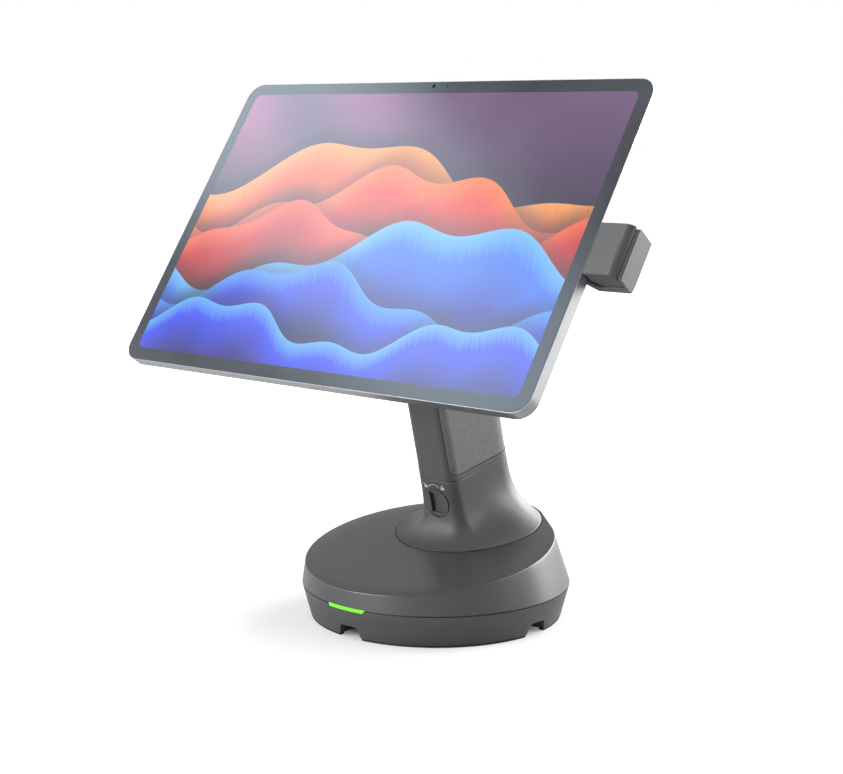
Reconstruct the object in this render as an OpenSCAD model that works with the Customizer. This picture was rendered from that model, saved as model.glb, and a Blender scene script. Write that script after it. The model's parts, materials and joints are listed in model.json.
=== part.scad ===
// Tablet kiosk stand: a weighted round base, a swivelling neck foot with a quarter-turn lock,
// a lift-off handle, a tilting and turning head, and a tablet on a bracket with a charging housing.
// Millimetres. The origin is on the desk under the middle of the base, +Z is up and the front looks along -Y.

/* [Base] */
// Radius of the base at the seam between its two shells
base_r = 75.5; // [62:0.5:92]
// Height of that seam above the desk
seam_h = 18.3; // [15:0.1:22]
// How much narrower the skirt is at the desk than at the seam
skirt_in = 4.5; // [2:0.5:7]
// Height of the slanted top over the middle of the base
top_h = 39.5; // [33:0.5:48]
// Slant of the top, low in front
slant = 9; // [5:0.5:12]
// How much smaller the rim of the top is than the seam
rim_in = 5.1; // [3:0.1:8]
// How far the rim is shifted towards the front, along the slant
rim_forward = 5.5; // [2:0.5:8]
// Bevel along the rim
rim_edge = 0.9; // [0.4:0.1:2]
// Wall of the base shells
wall = 2.6; // [2:0.1:3.4]
// Thickness of the slanted top
roof_t = 3; // [2.4:0.1:4]
// Depth of the cable space under the base
recess_h = 8.5; // [7.5:0.1:10]
// Thickness of the floor over the cable space
floor_t = 2.5; // [2:0.1:3.5]
// Width of a cable notch at its top
notch_w = 12; // [8:0.5:16]
// Height of a cable notch
notch_h = 7.2; // [5:0.1:7.3]
// How much each side of a notch slopes outwards on its way down
notch_flare = 2.6; // [0:0.1:5]
// Thickness of the rubber foot strip
pad_t = 1.2; // [0.8:0.1:2]
// Thickness of the steel ballast plate
plate_t = 8; // [5:0.5:9]
// Circle on which the counter bolts lie
bolt_pcd = 100; // [80:1:106]
// Tapping radius of a counter bolt hole
bolt_r = 2.1; // [1.6:0.05:2.6]
// Length of the light bar along its top edge
led_w = 26; // [18:0.5:36]
// Height of the light bar
led_h = 1.7; // [1.2:0.1:2.4]

/* [Neck foot] */
// Radius of the round seam between the neck foot and the base
foot_r = 42; // [36:0.5:48]
// How far that seam stays inside the base's radius at the rear
foot_rear_in = 4.1; // [3:0.1:10]
// How far the neck stands behind the middle of its foot
neck_back = 4.4; // [2:0.1:7]
// Lean of the neck from the vertical, towards the front
lean = 14; // [8:0.5:18]
// Height of the parting line between foot and handle, along the neck
part_up = 37.8; // [36:0.1:46]
// How sharply the flare of the foot curves: higher is a tighter curve
flare_power = 3.2; // [1.8:0.1:3.8]
// How late the flare rises at the front: 1 is the same as at the back, 2 leaves a flat margin
front_rise = 2; // [1:0.1:2.4]
// Height of the lock knob's axis along the neck
lock_up = 24; // [22:0.5:26]
// Radius of the lock knob
knob_r = 8; // [6.5:0.1:9]
// Radius of the swivel spindle
spindle_r = 10; // [8:0.5:12]

/* [Handle] */
// Depth of the handle, front to back
handle_d = 53; // [48:0.5:64]
// Half width of the handle at its front
front_half = 14; // [13:0.5:18]
// Half width of the handle at its back
back_half = 17.5; // [16:0.5:22]
// Corner radius at the front
front_round = 6; // [5.5:0.5:9]
// Corner radius at the back
back_round = 14; // [9:0.5:15]
// Wall of the handle shell
handle_wall = 4.5; // [4:0.1:5]
// Height of the top of the handle shell, along the neck
handle_top = 138; // [120:1:160]
// Depth of the recess that takes the grip
grip_t = 1.6; // [1:0.1:2.6]
// Angle round the handle's front corner of the lower end of the grip's front edge
edge_low_turn = 54; // [40:1:60]
// The same of the edge's upper end
edge_high_turn = 68; // [50:1:72]
// Corner radius of the grip
grip_round = 6; // [3:0.5:10]
// Radius of the tilt pin
pin_r = 4; // [3:0.1:5]

/* [Head and bracket] */
// Height of the tilt pin above the top of the handle
pivot_rise = 20; // [19:0.5:26]
// How far the tilt pin lies in front of the neck's axis
pivot_forward = 13; // [10:0.5:14]
// How far the tablet leans back from the vertical
recline = 34.4; // [20:0.2:50]
// Distance from the tilt pin to the face of the turn flange
hub_len = 29.5; // [27:0.5:36]
// Radius of the turn flange
flange_r = 24; // [20:0.5:28]
// Width of the bracket plate
plate_w = 110; // [90:1:150]
// Height of the bracket plate
plate_h = 76; // [60:1:110]
// Thickness of the bracket plate
bracket_t = 3; // [2.6:0.1:4]
// Thickness of the adhesive pad
glue_t = 1; // [0.6:0.1:1.6]

/* [Tablet] */
// Width of the tablet
tablet_w = 285; // [240:1:345]
// Height of the tablet
tablet_h = 185; // [154:1:225]
// Thickness of the tablet
tablet_t = 8.3; // [7.5:0.1:10]
// Corner radius of the tablet
tablet_round = 10; // [8:0.5:16]
// Border between the tablet's edge and its display
bezel = 7.7; // [6:0.1:14]
// Travel of the tablet's buttons
button_travel = 0.4; // [0.2:0.05:0.6]
// Height of the connector housing along the tablet's edge
housing_h = 28.7; // [24:0.1:34]
// How far the housing's middle lies below the tablet's middle
housing_drop = 4.2; // [0:0.1:5]
// How far the housing stands out from the tablet's edge
housing_out = 19.8; // [18:0.1:26]

/* [Clearances] */
// Radial clearance of a turning shaft in its bore
run_gap = 0.05; // [0.02:0.01:0.1]
// Clearance of a piece seated in its place
seat_gap = 0.05; // [0.02:0.01:0.1]
// Clearance between pieces that slide or turn past each other
slide_gap = 0.3; // [0.2:0.05:0.5]
// Visible gap along the seams and parting lines
seam_gap = 0.4; // [0.2:0.05:0.8]

/* [Hidden] */
$fn = 96;
over = 1;

// Base, worked out
base_low_r = base_r - skirt_in;
rim_r = base_r - rim_in;
skirt_t = 3.4;
notch_round = 1.5;
pad_inset = 0.4;
cheek_t = 2.4;
cheek_len = 9;
centre_r = 24;
floor_top = recess_h + floor_t;
foot_back = base_r - foot_r - foot_rear_in;
lobe_r = foot_r + 1.8;
boss_r = 4;
boss_ring = base_low_r - 5.5;
plate_r = boss_ring - boss_r - 1.5;
plate_top = floor_top + plate_t;
screw_r = 1.5;
screw_head_r = 3;
screw_head_t = 1.5;
tip_gap = 0.5;
plate_screw_ring = 36;
plate_screw_len = floor_t + plate_t - 2;
boss_roof = 4;
pilot_h = top_h - floor_top - roof_t - tan(slant) * boss_ring - boss_roof;
bolt_room = 2;
groove = 0.5;
led_deep = 4.5;
led_slope = 1.2;
led_sunk = 0.4;
led_board_t = 1.6;
led_board_w = led_w - 3;
inlet_y = boss_ring - 17.5;
inlet_size = [11, 9, 11];
inlet_room = 1;
jack_r = 2.85;
jack_deep = 9;
jack_pin_r = 0.9;
board_size = [50, 34, 1.6];
board_y = -30;
chip_size = [12, 12, 1.4];
relay_size = [8, 14, 2.2];
spacer_h = 3;
spacer_r = 2.5;
spacer_in = 4;

// Swivel stack, heights along the swivel axis from the slanted top
bush_r = spindle_r + 3;
bush_flange_r = spindle_r + 7;
bush_flange_t = 1.5;
swivel_boss_r = spindle_r + 9;
swivel_boss_h = 10;
thrust_t = 1.5;
spindle_flange_r = spindle_r + 8;
spindle_flange_t = 3.5;
spindle_flange_z = thrust_t + 2 * seat_gap;
spring_t = 1.5;
nut_t = 6;
nut_r = spindle_r + 6;
spindle_tail = swivel_boss_h + spring_t + nut_t + 2.4;
spindle_bore_r = spindle_r - 3.5;
spindle_screw_ring = spindle_r + 4;
spindle_screw_len = 10;
foot_lip = 0.8;
back_share = 0.3;
foot_floor = spindle_flange_z + spindle_flange_t;

// Handle section and what hangs on it, in the neck's own frame
handle_corners = [
    [back_half - back_round, handle_d / 2 - back_round, back_round],
    [back_round - back_half, handle_d / 2 - back_round, back_round],
    [front_round - front_half, front_round - handle_d / 2, front_round],
    [front_half - front_round, front_round - handle_d / 2, front_round]
];
handle_bottom = part_up + seam_gap;
spigot_size = [22, 16];
spigot_tip = part_up - 26;
spigot_flange_t = 5;
spigot_front = -spigot_size[1] / 2;
flange_front = -16;
flange_back = 11;
flange_half = 11.5;
spigot_screw_len = 14;
spigot_screw_x = 5.8;
spigot_screw_y = flange_front + 4;
core_half = 9;
core_bottom = handle_bottom + spigot_flange_t;
wire_r = 2.5;
grip_low = part_up + 3.2;
grip_high = handle_top - 6;
grip_sunk = 0.2;
grip_cut_turn = 49;
contact_y = 16;
contact_size = [18, 7];
contact_t = 2.5;
dock_deep = 7.5;
dock_pins = 4;
dock_pitch = 4;
dock_pin_r = 0.9;

// Lock, depths along the neck's own front-to-back direction
knob_face = handle_d / 2 + 1;
knob_t = 8;
knob_back = knob_face - knob_t;
knob_room = 0.5;
lock_bush_r = 4.5;
lock_shaft_r = 2.5;
shaft_grip = 3;
cam_w = 5;
cam_len = 12;
cam_t = 4;
cam_wall = 2.5;
clip_t = 0.8;
clip_room = 1.8;
clip_front = -spigot_size[1] / 2 - slide_gap - clip_room - clip_t;

// Tilt joint
pivot_up = handle_top + pivot_rise;
yoke_t = 6;
yoke_top = handle_top + yoke_t;
yoke_screw_len = 16;
yoke_screw_y = [3.3, 8.8];
ear_foot = 2;
ear_corner = 1;
barrel_r = pivot_rise - 8.5;
barrel_half = 8.4;
washer_t = 1.5;
ear_in = barrel_half + washer_t + 2 * seat_gap;
ear_t = 4.5;
ear_out = ear_in + ear_t;
ear_r = barrel_r + 1;
pin_head_r = pin_r + 3;
pin_head_t = 2.5;
pin_tail = 1.5;
tilt_nut_t = 4;

// Turn joint, distances from the tilt pin towards the tablet
flange_t = 5;
turn_washer_t = 0.9;
turn_r = 4;
turn_end = 14;
turn_groove_y = 18.8;
turn_groove_w = 2.4;
turn_groove_r = 2.8;
turn_head_r = 9;
turn_head_t = 1.6;
hub_r = 12;
hub_half = 9;
flange_rim = 4;

// Depths behind the front of the tablet's glass
pad_y = tablet_t;
bracket_y = pad_y + glue_t;
bracket_back = bracket_y + bracket_t;
pivot_depth = bracket_back + turn_washer_t + 2 * seat_gap + hub_len;
arm_t = 2;
arm_back = bracket_back + arm_t;
arm_half = 9;
arm_start = flange_r + 6;
arm_round = 4;
arm_tip_round = 2;
arm_screw_x = [arm_start + 6, plate_w / 2 - 7];
plate_round = 8;
glue_in = 2;
cap_t = 1.4;
cap_r = screw_head_r - 0.4;
cover_t = 2;
cover_back = arm_back + cover_t;

// Tablet, worked out
half_w = tablet_w / 2;
half_h = tablet_h / 2;
case_wall = 1.8;
case_back = 1.4;
glass_inset = 0.35;
glass_t = 1.05;
glass_y = 0.1;
screen_y = glass_y + glass_t + seat_gap;
screen_t = 1.8;
case_front = 0.3;
case_floor = tablet_t - case_back;
edge_chamfer = 1.4;
port_y = tablet_t / 2;
housing_x = half_w + housing_out;
housing_top = housing_h / 2 - housing_drop;
housing_low = -housing_h / 2 - housing_drop;
boot_y = 0.5;
boot_round = 5.5;
boot_step_y = 3.1;
boot_near = half_w + 0.2;
cover_y = boot_step_y + seam_gap;
cover_edge = half_w - 4;
cover_bend = half_w + 3.6;
cover_lip = 2.6;
cover_bevel = 1.5;
cover_front_bevel = [1.2, 1];
cover_corner = 2;
cover_fall = 1.2;
cover_crown = 1.7;
crown_up = 1.5;
crown_drop = 2.4;
crown_r = ((crown_up - housing_low) ^ 2 + crown_drop ^ 2) / (2 * crown_drop);
crown_back = cover_back + cover_crown;
housing_screw_z = 5;
housing_screw_x = housing_x - 10;
plug_size = [10, 6, 12];
tongue_size = [7, 2.4, 8.3];
port_gap = 0.4;
button_y = tablet_t / 2;
button_t = 2;
button_proud = button_travel + 0.1;
button_shoulder = [0.8, 0.6, 1.2];
power_x = 20 - half_w;
power_w = 10;
volume_x = 44 - half_w;
volume_w = 22;
camera_x = 34 - half_w;
camera_z = half_h - 26;
camera_pitch = 20;
camera_round = 6;
lens_r = 4;
lens_deep = 0.6;
lens_proud = 1;
front_lens_r = 1.6;
battery_size = [160, 111];
battery_x = -20;
main_board_size = [62, 148];
main_board_x = 97;
main_board_t = 1.2;
inner_round = 2.5;
screen_round = 4;

// Frames: the slanted top, the swivel axis, the leaning neck, the tilt pin and the tablet's front face
module at_slant() { translate([0, 0, top_h]) rotate([slant, 0, 0]) children(); }
module at_swivel() { at_slant() translate([0, foot_back, 0]) children(); }
module at_neck() { at_swivel() translate([0, neck_back, 0]) rotate([lean - slant, 0, 0]) children(); }
module at_lock() { at_neck() translate([0, 0, lock_up]) rotate([-90, 0, 0]) children(); }
module at_pivot() {
    at_neck() translate([0, -pivot_forward, pivot_up]) rotate([-lean - recline, 0, 0]) children();
}
module at_tablet() { at_pivot() translate([0, -pivot_depth, 0]) children(); }

// Outward direction of the straight side that runs from one corner circle to the next, counter-clockwise
function side_angle(a, b) =
    let (d = [b[0] - a[0], b[1] - a[1]])
    atan2(d[1], d[0]) - acos((a[2] - b[2]) / norm(d));

function on_circle(c, r, angle) = [c[0] + r * cos(angle), c[1] + r * sin(angle)];

// Convex outline around corner circles, drawn with true arcs. Its straight sides lie a hair inside the
// common tangents, so that they cross the arcs cleanly.
module rounded_outline(corners, inset = 0) {
    hair = 0.001;
    n = len(corners);
    for (c = corners) translate([c[0], c[1]]) circle(r = c[2] - inset);
    polygon([
        for (i = [0 : n - 1])
            let (a = corners[i], b = corners[(i + 1) % n], t = side_angle(a, b))
            each [on_circle(a, a[2] - inset - hair, t), on_circle(b, b[2] - inset - hair, t)]
    ]);
}

module rounded_rect(w, h, r, inset = 0) {
    x = w / 2 - r;
    y = h / 2 - r;
    rounded_outline([[x, y, r], [-x, y, r], [-x, -y, r], [x, -y, r]], inset);
}

// Plate whose outline lies across the tablet and whose thickness runs back from depth y
module slab(y, t) { translate([0, y + t, 0]) rotate([90, 0, 0]) linear_extrude(t) children(); }

// Plate whose outline lies in the middle plane, depth by height, and whose thickness runs across
module across(w) { rotate([90, 0, 90]) linear_extrude(w, center = true) children(); }

// Round bar along the depth, from y to y + len
module rod(r, y, len) { translate([0, y, 0]) rotate([-90, 0, 0]) cylinder(r = r, h = len); }

module ring(outer_r, inner_r, h) {
    difference() {
        cylinder(r = outer_r, h = h);
        translate([0, 0, -over]) cylinder(r = inner_r, h = h + 2 * over);
    }
}

// Block centred across and in depth, standing on the plane it is drawn in
module block(size) { translate([-size[0] / 2, -size[1] / 2, 0]) cube(size); }

// Screw with a flush head at the bottom
module flush_screw(len, r = screw_r, head_r = screw_head_r, head_t = screw_head_t) {
    cylinder(r1 = head_r, r2 = r, h = head_t);
    cylinder(r = r, h = len);
}

module flush_screw_hole(len) {
    translate([0, 0, -over]) cylinder(r = screw_head_r + seat_gap, h = over);
    flush_screw(len, screw_r + seat_gap, screw_head_r + seat_gap);
}

module hex_nut(r, bore_r, h) {
    difference() {
        cylinder(r = r, h = h, $fn = 6);
        translate([0, 0, -over]) cylinder(r = bore_r, h = h + 2 * over);
    }
}

// Copies on a circle about the vertical
module around(n, radius, first = 0) {
    for (i = [0 : n - 1]) rotate([0, 0, first + 360 * i / n]) translate([radius, 0, 0]) children();
}

// Base

function skirt_r(z) = base_low_r + skirt_in * (z - pad_t) / (seam_h - pad_t);

module notch_outline() {
    r = notch_round;
    top = notch_w / 2 - r;
    low = top + notch_flare;
    rounded_outline([[top, notch_h - r, r], [-top, notch_h - r, r], [-low, -r, r], [low, -r, r]]);
}

module cable_notches() {
    around(4, 0)
        translate([base_low_r - skirt_t - cheek_len - over, 0, 0])
            rotate([90, 0, 90])
                linear_extrude(cheek_len + skirt_t + skirt_in + 2 * over) notch_outline();
}

// Short channels under the floor that lead a cable in through each notch
module cable_guides() {
    inner_low = base_low_r - skirt_t;
    half = notch_w / 2 + notch_flare + cheek_t;
    color("#4b4d50")
        difference() {
            intersection() {
                around(4, 0)
                    translate([inner_low - cheek_len, -half, pad_t])
                        cube([cheek_len, 2 * half, recess_h - pad_t]);
                cylinder(r = inner_low - seat_gap, h = recess_h);
            }
            cable_notches();
        }
}

// Arc of the light bar's cross-section, cut to a trapezium by its slanted ends
module led_arc(grow = 0, rise = 0) {
    low = seam_h - led_h - grow;
    half_top = led_w / 2 + grow;
    half_low = half_top - led_slope;
    intersection() {
        rotate_extrude()
            translate([base_r - led_deep - grow, low])
                square([led_deep + grow + rise - led_sunk, led_h + grow + rise]);
        rotate([90, 0, 0])
            linear_extrude(base_r + over)
                polygon([
                    [-half_low, low], [half_low, low], [half_top, seam_h],
                    [half_top, seam_h + rise], [-half_top, seam_h + rise], [-half_top, seam_h]
                ]);
    }
}

module rubber_feet() {
    color("#1d1d1f")
        difference() {
            ring(base_low_r - pad_inset, base_low_r - skirt_t, pad_t);
            cable_notches();
        }
}

module counter_pad() { color("#2a2a2c") cylinder(r = centre_r, h = recess_h); }

module lower_housing() {
    inner_low = base_low_r - skirt_t;
    color("#4b4d50")
        difference() {
            rotate_extrude()
                polygon([
                    [0, recess_h], [inner_low, recess_h], [inner_low, pad_t], [base_low_r, pad_t],
                    [skirt_r(seam_h - groove), seam_h - groove],
                    [skirt_r(seam_h - groove) - 2 * groove, seam_h - groove],
                    [skirt_r(seam_h - groove) - 2 * groove, seam_h],
                    [base_r - wall, seam_h], [skirt_r(floor_top) - wall, floor_top], [0, floor_top]
                ]);
            cable_notches();
            led_arc(seat_gap, over);
            around(4, boss_ring, 45) translate([0, 0, recess_h]) flush_screw_hole(floor_t + over);
            around(4, plate_screw_ring) translate([0, 0, recess_h]) flush_screw_hole(floor_t + over);
            around(4, bolt_pcd / 2, 45) cylinder(r = bolt_r + bolt_room, h = floor_top + over);
            translate([0, inlet_y, 0])
                block([inlet_size[0] + 2 * seat_gap, inlet_size[1] + 2 * seat_gap, floor_top + over]);
        }
}

module base_plate() {
    color("#8d9094")
        translate([0, 0, floor_top])
            difference() {
                cylinder(r = plate_r, h = plate_t);
                around(4, bolt_pcd / 2, 45)
                    translate([0, 0, -over]) cylinder(r = bolt_r, h = plate_t + 2 * over);
                around(4, plate_screw_ring)
                    translate([0, 0, -over]) cylinder(r = screw_r + seat_gap, h = plate_t);
                translate([0, inlet_y, -over])
                    block([
                        inlet_size[0] + 2 * inlet_room, inlet_size[1] + 2 * inlet_room, plate_t + 2 * over
                    ]);
            }
}

module plate_screws() {
    color("#c9cbce")
        around(4, plate_screw_ring) translate([0, 0, recess_h]) flush_screw(plate_screw_len);
}

// Convex form of the upper cover: the seam circle, the slanted rim and the rear lobe under the neck foot
module cover_form(inset, depth, edge) {
    skin = 0.2;
    hull() {
        translate([0, 0, seam_h - (inset > 0 ? over : 0)]) cylinder(r = base_r - inset, h = skin);
        at_slant()
            for (rim = [[rim_r, -rim_forward], [lobe_r, foot_back]])
                translate([0, rim[1], -depth]) {
                    translate([0, 0, -edge - skin]) cylinder(r = rim[0] - inset, h = skin);
                    translate([0, 0, -skin]) cylinder(r = rim[0] - inset - edge, h = skin);
                }
    }
}

module cover_bosses() {
    around(4, boss_ring, 45) translate([0, 0, floor_top]) cylinder(r = boss_r, h = 2 * top_h);
    at_swivel() translate([0, 0, -swivel_boss_h]) cylinder(r = swivel_boss_r, h = swivel_boss_h);
}

module upper_cover() {
    color("#55575a")
        difference() {
            union() {
                difference() {
                    cover_form(0, 0, rim_edge);
                    difference() {
                        cover_form(wall, roof_t, 0);
                        cover_bosses();
                    }
                }
                around(4, boss_ring, 45)
                    translate([0, 0, floor_top]) cylinder(r = boss_r, h = seam_h - floor_top + over);
            }
            around(4, boss_ring, 45)
                translate([0, 0, floor_top - over]) cylinder(r = screw_r + seat_gap, h = pilot_h + over);
            at_swivel() {
                translate([0, 0, -bush_flange_t])
                    cylinder(r = bush_flange_r + seat_gap, h = bush_flange_t + over);
                translate([0, 0, -swivel_boss_h - over])
                    cylinder(r = bush_r + seat_gap, h = swivel_boss_h + over);
            }
        }
}

module cover_screws() {
    color("#c9cbce")
        around(4, boss_ring, 45) translate([0, 0, recess_h]) flush_screw(floor_t + pilot_h - tip_gap);
}

module led_light_bar() { color("#5dff2a") led_arc(); }

module led_board() {
    front = sqrt(pow(base_r - led_deep, 2) - pow(led_w / 2, 2)) - slide_gap;
    color("#1f5b38")
        translate([0, led_board_t / 2 - front, floor_top])
            block([led_board_w, led_board_t, seam_h - floor_top - slide_gap]);
}

module board_posts() {
    half_x = board_size[0] / 2 - spacer_in;
    half_y = board_size[1] / 2 - spacer_in;
    for (x = [-half_x, half_x], y = [-half_y, half_y]) translate([x, board_y + y, plate_top]) children();
}

module board_spacers() { color("#e4e2da") board_posts() cylinder(r = spacer_r, h = spacer_h); }

module control_board() {
    color("#1f5b38")
        translate([0, board_y, plate_top + spacer_h]) {
            block(board_size);
            translate([-8, 3, board_size[2]]) block(chip_size);
            translate([14, -4, board_size[2]]) block(relay_size);
        }
}

module power_inlet() {
    color("#18181a")
        translate([0, inlet_y, recess_h]) {
            difference() {
                block(inlet_size);
                translate([0, 0, -over]) cylinder(r = jack_r, h = jack_deep + over);
            }
            cylinder(r = jack_pin_r, h = jack_deep + over);
        }
}

module swivel_bush() {
    color("#b9a06a")
        at_swivel()
            difference() {
                union() {
                    translate([0, 0, -bush_flange_t]) cylinder(r = bush_flange_r, h = bush_flange_t);
                    translate([0, 0, -swivel_boss_h]) cylinder(r = bush_r, h = swivel_boss_h);
                }
                translate([0, 0, -swivel_boss_h - over])
                    cylinder(r = spindle_r + run_gap, h = swivel_boss_h + 2 * over);
            }
}

// Neck foot: a loft from the round seam on the slanted top up to the handle's section

// Points around a convex outline: each corner arc, then the straight side that follows it
function outline_points(corners, arc_steps, side_steps) = [
    for (i = [0 : len(corners) - 1])
        let (
            n = len(corners),
            c = corners[i],
            next = corners[(i + 1) % n],
            from = side_angle(corners[(i + n - 1) % n], c),
            to = side_angle(c, next),
            sweep = (to - from + 720) % 360,
            start = on_circle(c, c[2], to),
            end = on_circle(next, next[2], to)
        )
        each concat(
            [for (k = [0 : arc_steps]) on_circle(c, c[2], from + sweep * k / arc_steps)],
            [for (k = [1 : side_steps - 1]) start + (end - start) * k / side_steps]
        )
];

// Where the neck's straight side through section point p meets height s along the neck, in the swivel frame
function neck_point(p, s) =
    let (tilt = lean - slant)
    [p[0], neck_back + p[1] * cos(tilt) - s * sin(tilt), p[1] * sin(tilt) + s * cos(tilt)];

// The same straight side where it meets height z over the slanted top
function neck_foot_point(p, z) = neck_point(p, (z - p[1] * sin(lean - slant)) / cos(lean - slant));

// Share of the front's late rise in a direction round the swivel: all at the front, none at the back
function front_share(angle) = let (x = min(1, max(0, back_share - sin(angle)))) x * x * (3 - 2 * x);

// Point of the flare: on the round seam at t = 0, on the neck's side at t = 1 and tangent to it there
function flare_point(p, t) =
    let (
        z = seam_gap + foot_lip,
        low = neck_foot_point(p, z),
        high = neck_point(p, part_up),
        angle = atan2(low[1], low[0]),
        rim = [foot_r * cos(angle), foot_r * sin(angle), z],
        rise = 1 + (front_rise - 1) * front_share(angle)
    )
    low + (high - low) * pow(t, rise) + (rim - low) * pow(1 - t, flare_power);

module foot_loft(arc_steps = 8, side_steps = 5, levels = 12) {
    outline = outline_points(handle_corners, arc_steps, side_steps);
    n = len(outline);
    lip = [for (p = outline) let (q = flare_point(p, 0)) [q[0], q[1], seam_gap]];
    flare = [for (k = [0 : levels]) let (t = pow(k / levels, 1.4)) for (p = outline) flare_point(p, t)];
    rings = levels + 2;
    sides = [
        for (k = [0 : rings - 2], i = [0 : n - 1])
            let (j = (i + 1) % n, a = k * n, b = a + n)
            each [[a + i, b + i, b + j], [a + i, b + j, a + j]]
    ];
    bottom = [for (i = [0 : n - 1]) i];
    top = [for (i = [n - 1 : -1 : 0]) (rings - 1) * n + i];
    polyhedron(concat(lip, flare), concat(sides, [bottom, top]));
}

// Room for the wires, from the spindle's bore back and up to the docking contacts
module wire_channel() {
    back = neck_back + contact_y;
    translate([-wire_r, 0, foot_floor]) cube([2 * wire_r, back, 2 * wire_r]);
    translate([0, back, foot_floor]) cylinder(r = wire_r, h = part_up - dock_deep);
}

module neck_foot() {
    color("#55575a")
        difference() {
            at_swivel() foot_loft();
            at_swivel() {
                translate([0, 0, -over]) cylinder(r = spindle_flange_r + seat_gap, h = foot_floor + over);
                cylinder(r = spindle_bore_r, h = spigot_tip + over);
                around(3, spindle_screw_ring, 90)
                    translate([0, 0, spindle_flange_z])
                        cylinder(r = screw_r + seat_gap, h = spindle_screw_len + tip_gap);
                wire_channel();
            }
            at_neck() {
                translate([0, 0, spigot_tip - tip_gap])
                    block([spigot_size[0] + 2 * slide_gap, spigot_size[1] + 2 * slide_gap, part_up]);
                translate([0, contact_y, part_up - dock_deep])
                    block([contact_size[0] + 2 * seat_gap, contact_size[1] + 2 * seat_gap, dock_deep + over]);
            }
            at_lock() {
                translate([0, 0, -2 * knob_face])
                    cylinder(r = knob_r + slide_gap, h = 2 * knob_face - knob_back + knob_room);
                translate([0, 0, -knob_back]) cylinder(r = lock_bush_r + seat_gap, h = knob_back);
                translate([0, 0, clip_front])
                    cylinder(r = lock_bush_r + 2 * slide_gap, h = clip_room + clip_t + over);
            }
        }
}

module swivel_spindle() {
    color("#a9acb0")
        at_swivel()
            difference() {
                union() {
                    translate([0, 0, spindle_flange_z]) cylinder(r = spindle_flange_r, h = spindle_flange_t);
                    translate([0, 0, -spindle_tail])
                        cylinder(r = spindle_r, h = spindle_tail + spindle_flange_z + over);
                }
                translate([0, 0, -spindle_tail - over]) cylinder(r = spindle_bore_r, h = 2 * spindle_tail);
                around(3, spindle_screw_ring, 90)
                    translate([0, 0, spindle_flange_z]) flush_screw_hole(spindle_screw_len);
            }
}

module spindle_screws() {
    color("#c9cbce")
        at_swivel()
            around(3, spindle_screw_ring, 90)
                translate([0, 0, spindle_flange_z]) flush_screw(spindle_screw_len);
}

module thrust_washer() {
    color("#e4e2da")
        at_swivel() translate([0, 0, seat_gap]) ring(bush_flange_r, spindle_r + seat_gap, thrust_t);
}

module spring_washer() {
    color("#8d9094")
        at_swivel()
            translate([0, 0, -swivel_boss_h - spring_t - seat_gap])
                ring(nut_r, spindle_r + seat_gap, spring_t);
}

module spindle_nut() {
    color("#c9cbce")
        at_swivel()
            translate([0, 0, -swivel_boss_h - spring_t - nut_t - 2 * seat_gap])
                hex_nut(nut_r, spindle_r + seat_gap, nut_t);
}

module dock_contacts() {
    first = -(dock_pins - 1) * dock_pitch / 2;
    color("#18181a")
        at_neck() translate([0, contact_y, part_up - dock_deep]) {
            block([contact_size[0], contact_size[1], dock_deep - 2 * seat_gap]);
            for (i = [0 : dock_pins - 1])
                translate([first + i * dock_pitch, 0, over])
                    cylinder(r = dock_pin_r, h = dock_deep + seam_gap - seat_gap - over);
        }
}

// Lock

module lock_bush() {
    front = knob_room + 2 * seat_gap - knob_back;
    color("#b9a06a")
        at_lock() translate([0, 0, front]) ring(lock_bush_r, lock_shaft_r + run_gap, clip_front - front);
}

// Knob face with a thumb scoop that is deep on one side and runs out on the other
module lock_knob() {
    deep = 2.4;
    shallow = 0.3;
    left = 3.4 - knob_r;
    right = knob_r - 1.6;
    low = knob_r - 2.4;
    high = knob_r - 1.4;
    color("#3f4144")
        at_lock()
            difference() {
                translate([0, 0, -knob_face]) cylinder(r = knob_r, h = knob_t);
                translate([0, low, -knob_face])
                    rotate([90, 0, 0])
                        linear_extrude(low + high)
                            polygon([[left, -over], [left, deep], [right, shallow], [right, -over]]);
                translate([0, 0, -knob_back - shaft_grip])
                    cylinder(r = lock_shaft_r + seat_gap, h = shaft_grip + over);
            }
}

// Shaft with a cross bar that passes the spigot's slot when upright and catches behind its walls when turned
module lock_cam() {
    bar_front = spigot_front + cam_wall + tip_gap;
    color("#a9acb0")
        at_lock() {
            translate([0, 0, -knob_back - shaft_grip])
                cylinder(r = lock_shaft_r, h = knob_back + shaft_grip + bar_front + over);
            translate([0, 0, bar_front]) block([cam_w, cam_len, cam_t]);
        }
}

module lock_clip() {
    color("#c9cbce")
        at_lock()
            translate([0, 0, clip_front + slide_gap]) ring(lock_bush_r, lock_shaft_r + seat_gap, clip_t);
}

// Handle

// Depth of a place round the handle's front corner, across the direction that the grip is cut in
function edge_depth(turn) =
    sin(grip_cut_turn) * (front_half - front_round + front_round * cos(turn))
    - cos(grip_cut_turn) * (handle_d / 2 - front_round + front_round * sin(turn));

// Outline of the grip in the direction that it is cut in, depth by height, open to the back
module grip_outline(grow) {
    low = grip_low - grow;
    high = grip_high + grow;
    back = handle_d;
    r = grip_round + grow;
    rounded_outline([
        [back, high - r, r],
        [edge_depth(edge_high_turn) - grow + r, high - r, r],
        [edge_depth(edge_low_turn) - grow + r, low + r, r],
        [back, low + r, r]
    ]);
}

// Room of the grip round both sides and the back
module grip_room(grow = 0) {
    for (side = [-1, 1]) rotate([0, 0, side * grip_cut_turn]) across(3 * handle_d) grip_outline(grow);
}

// Length of the handle's section, drawn in by an inset
module handle_bar(low, high, inset = 0) {
    translate([0, 0, low]) linear_extrude(high - low) rounded_outline(handle_corners, inset);
}

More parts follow.
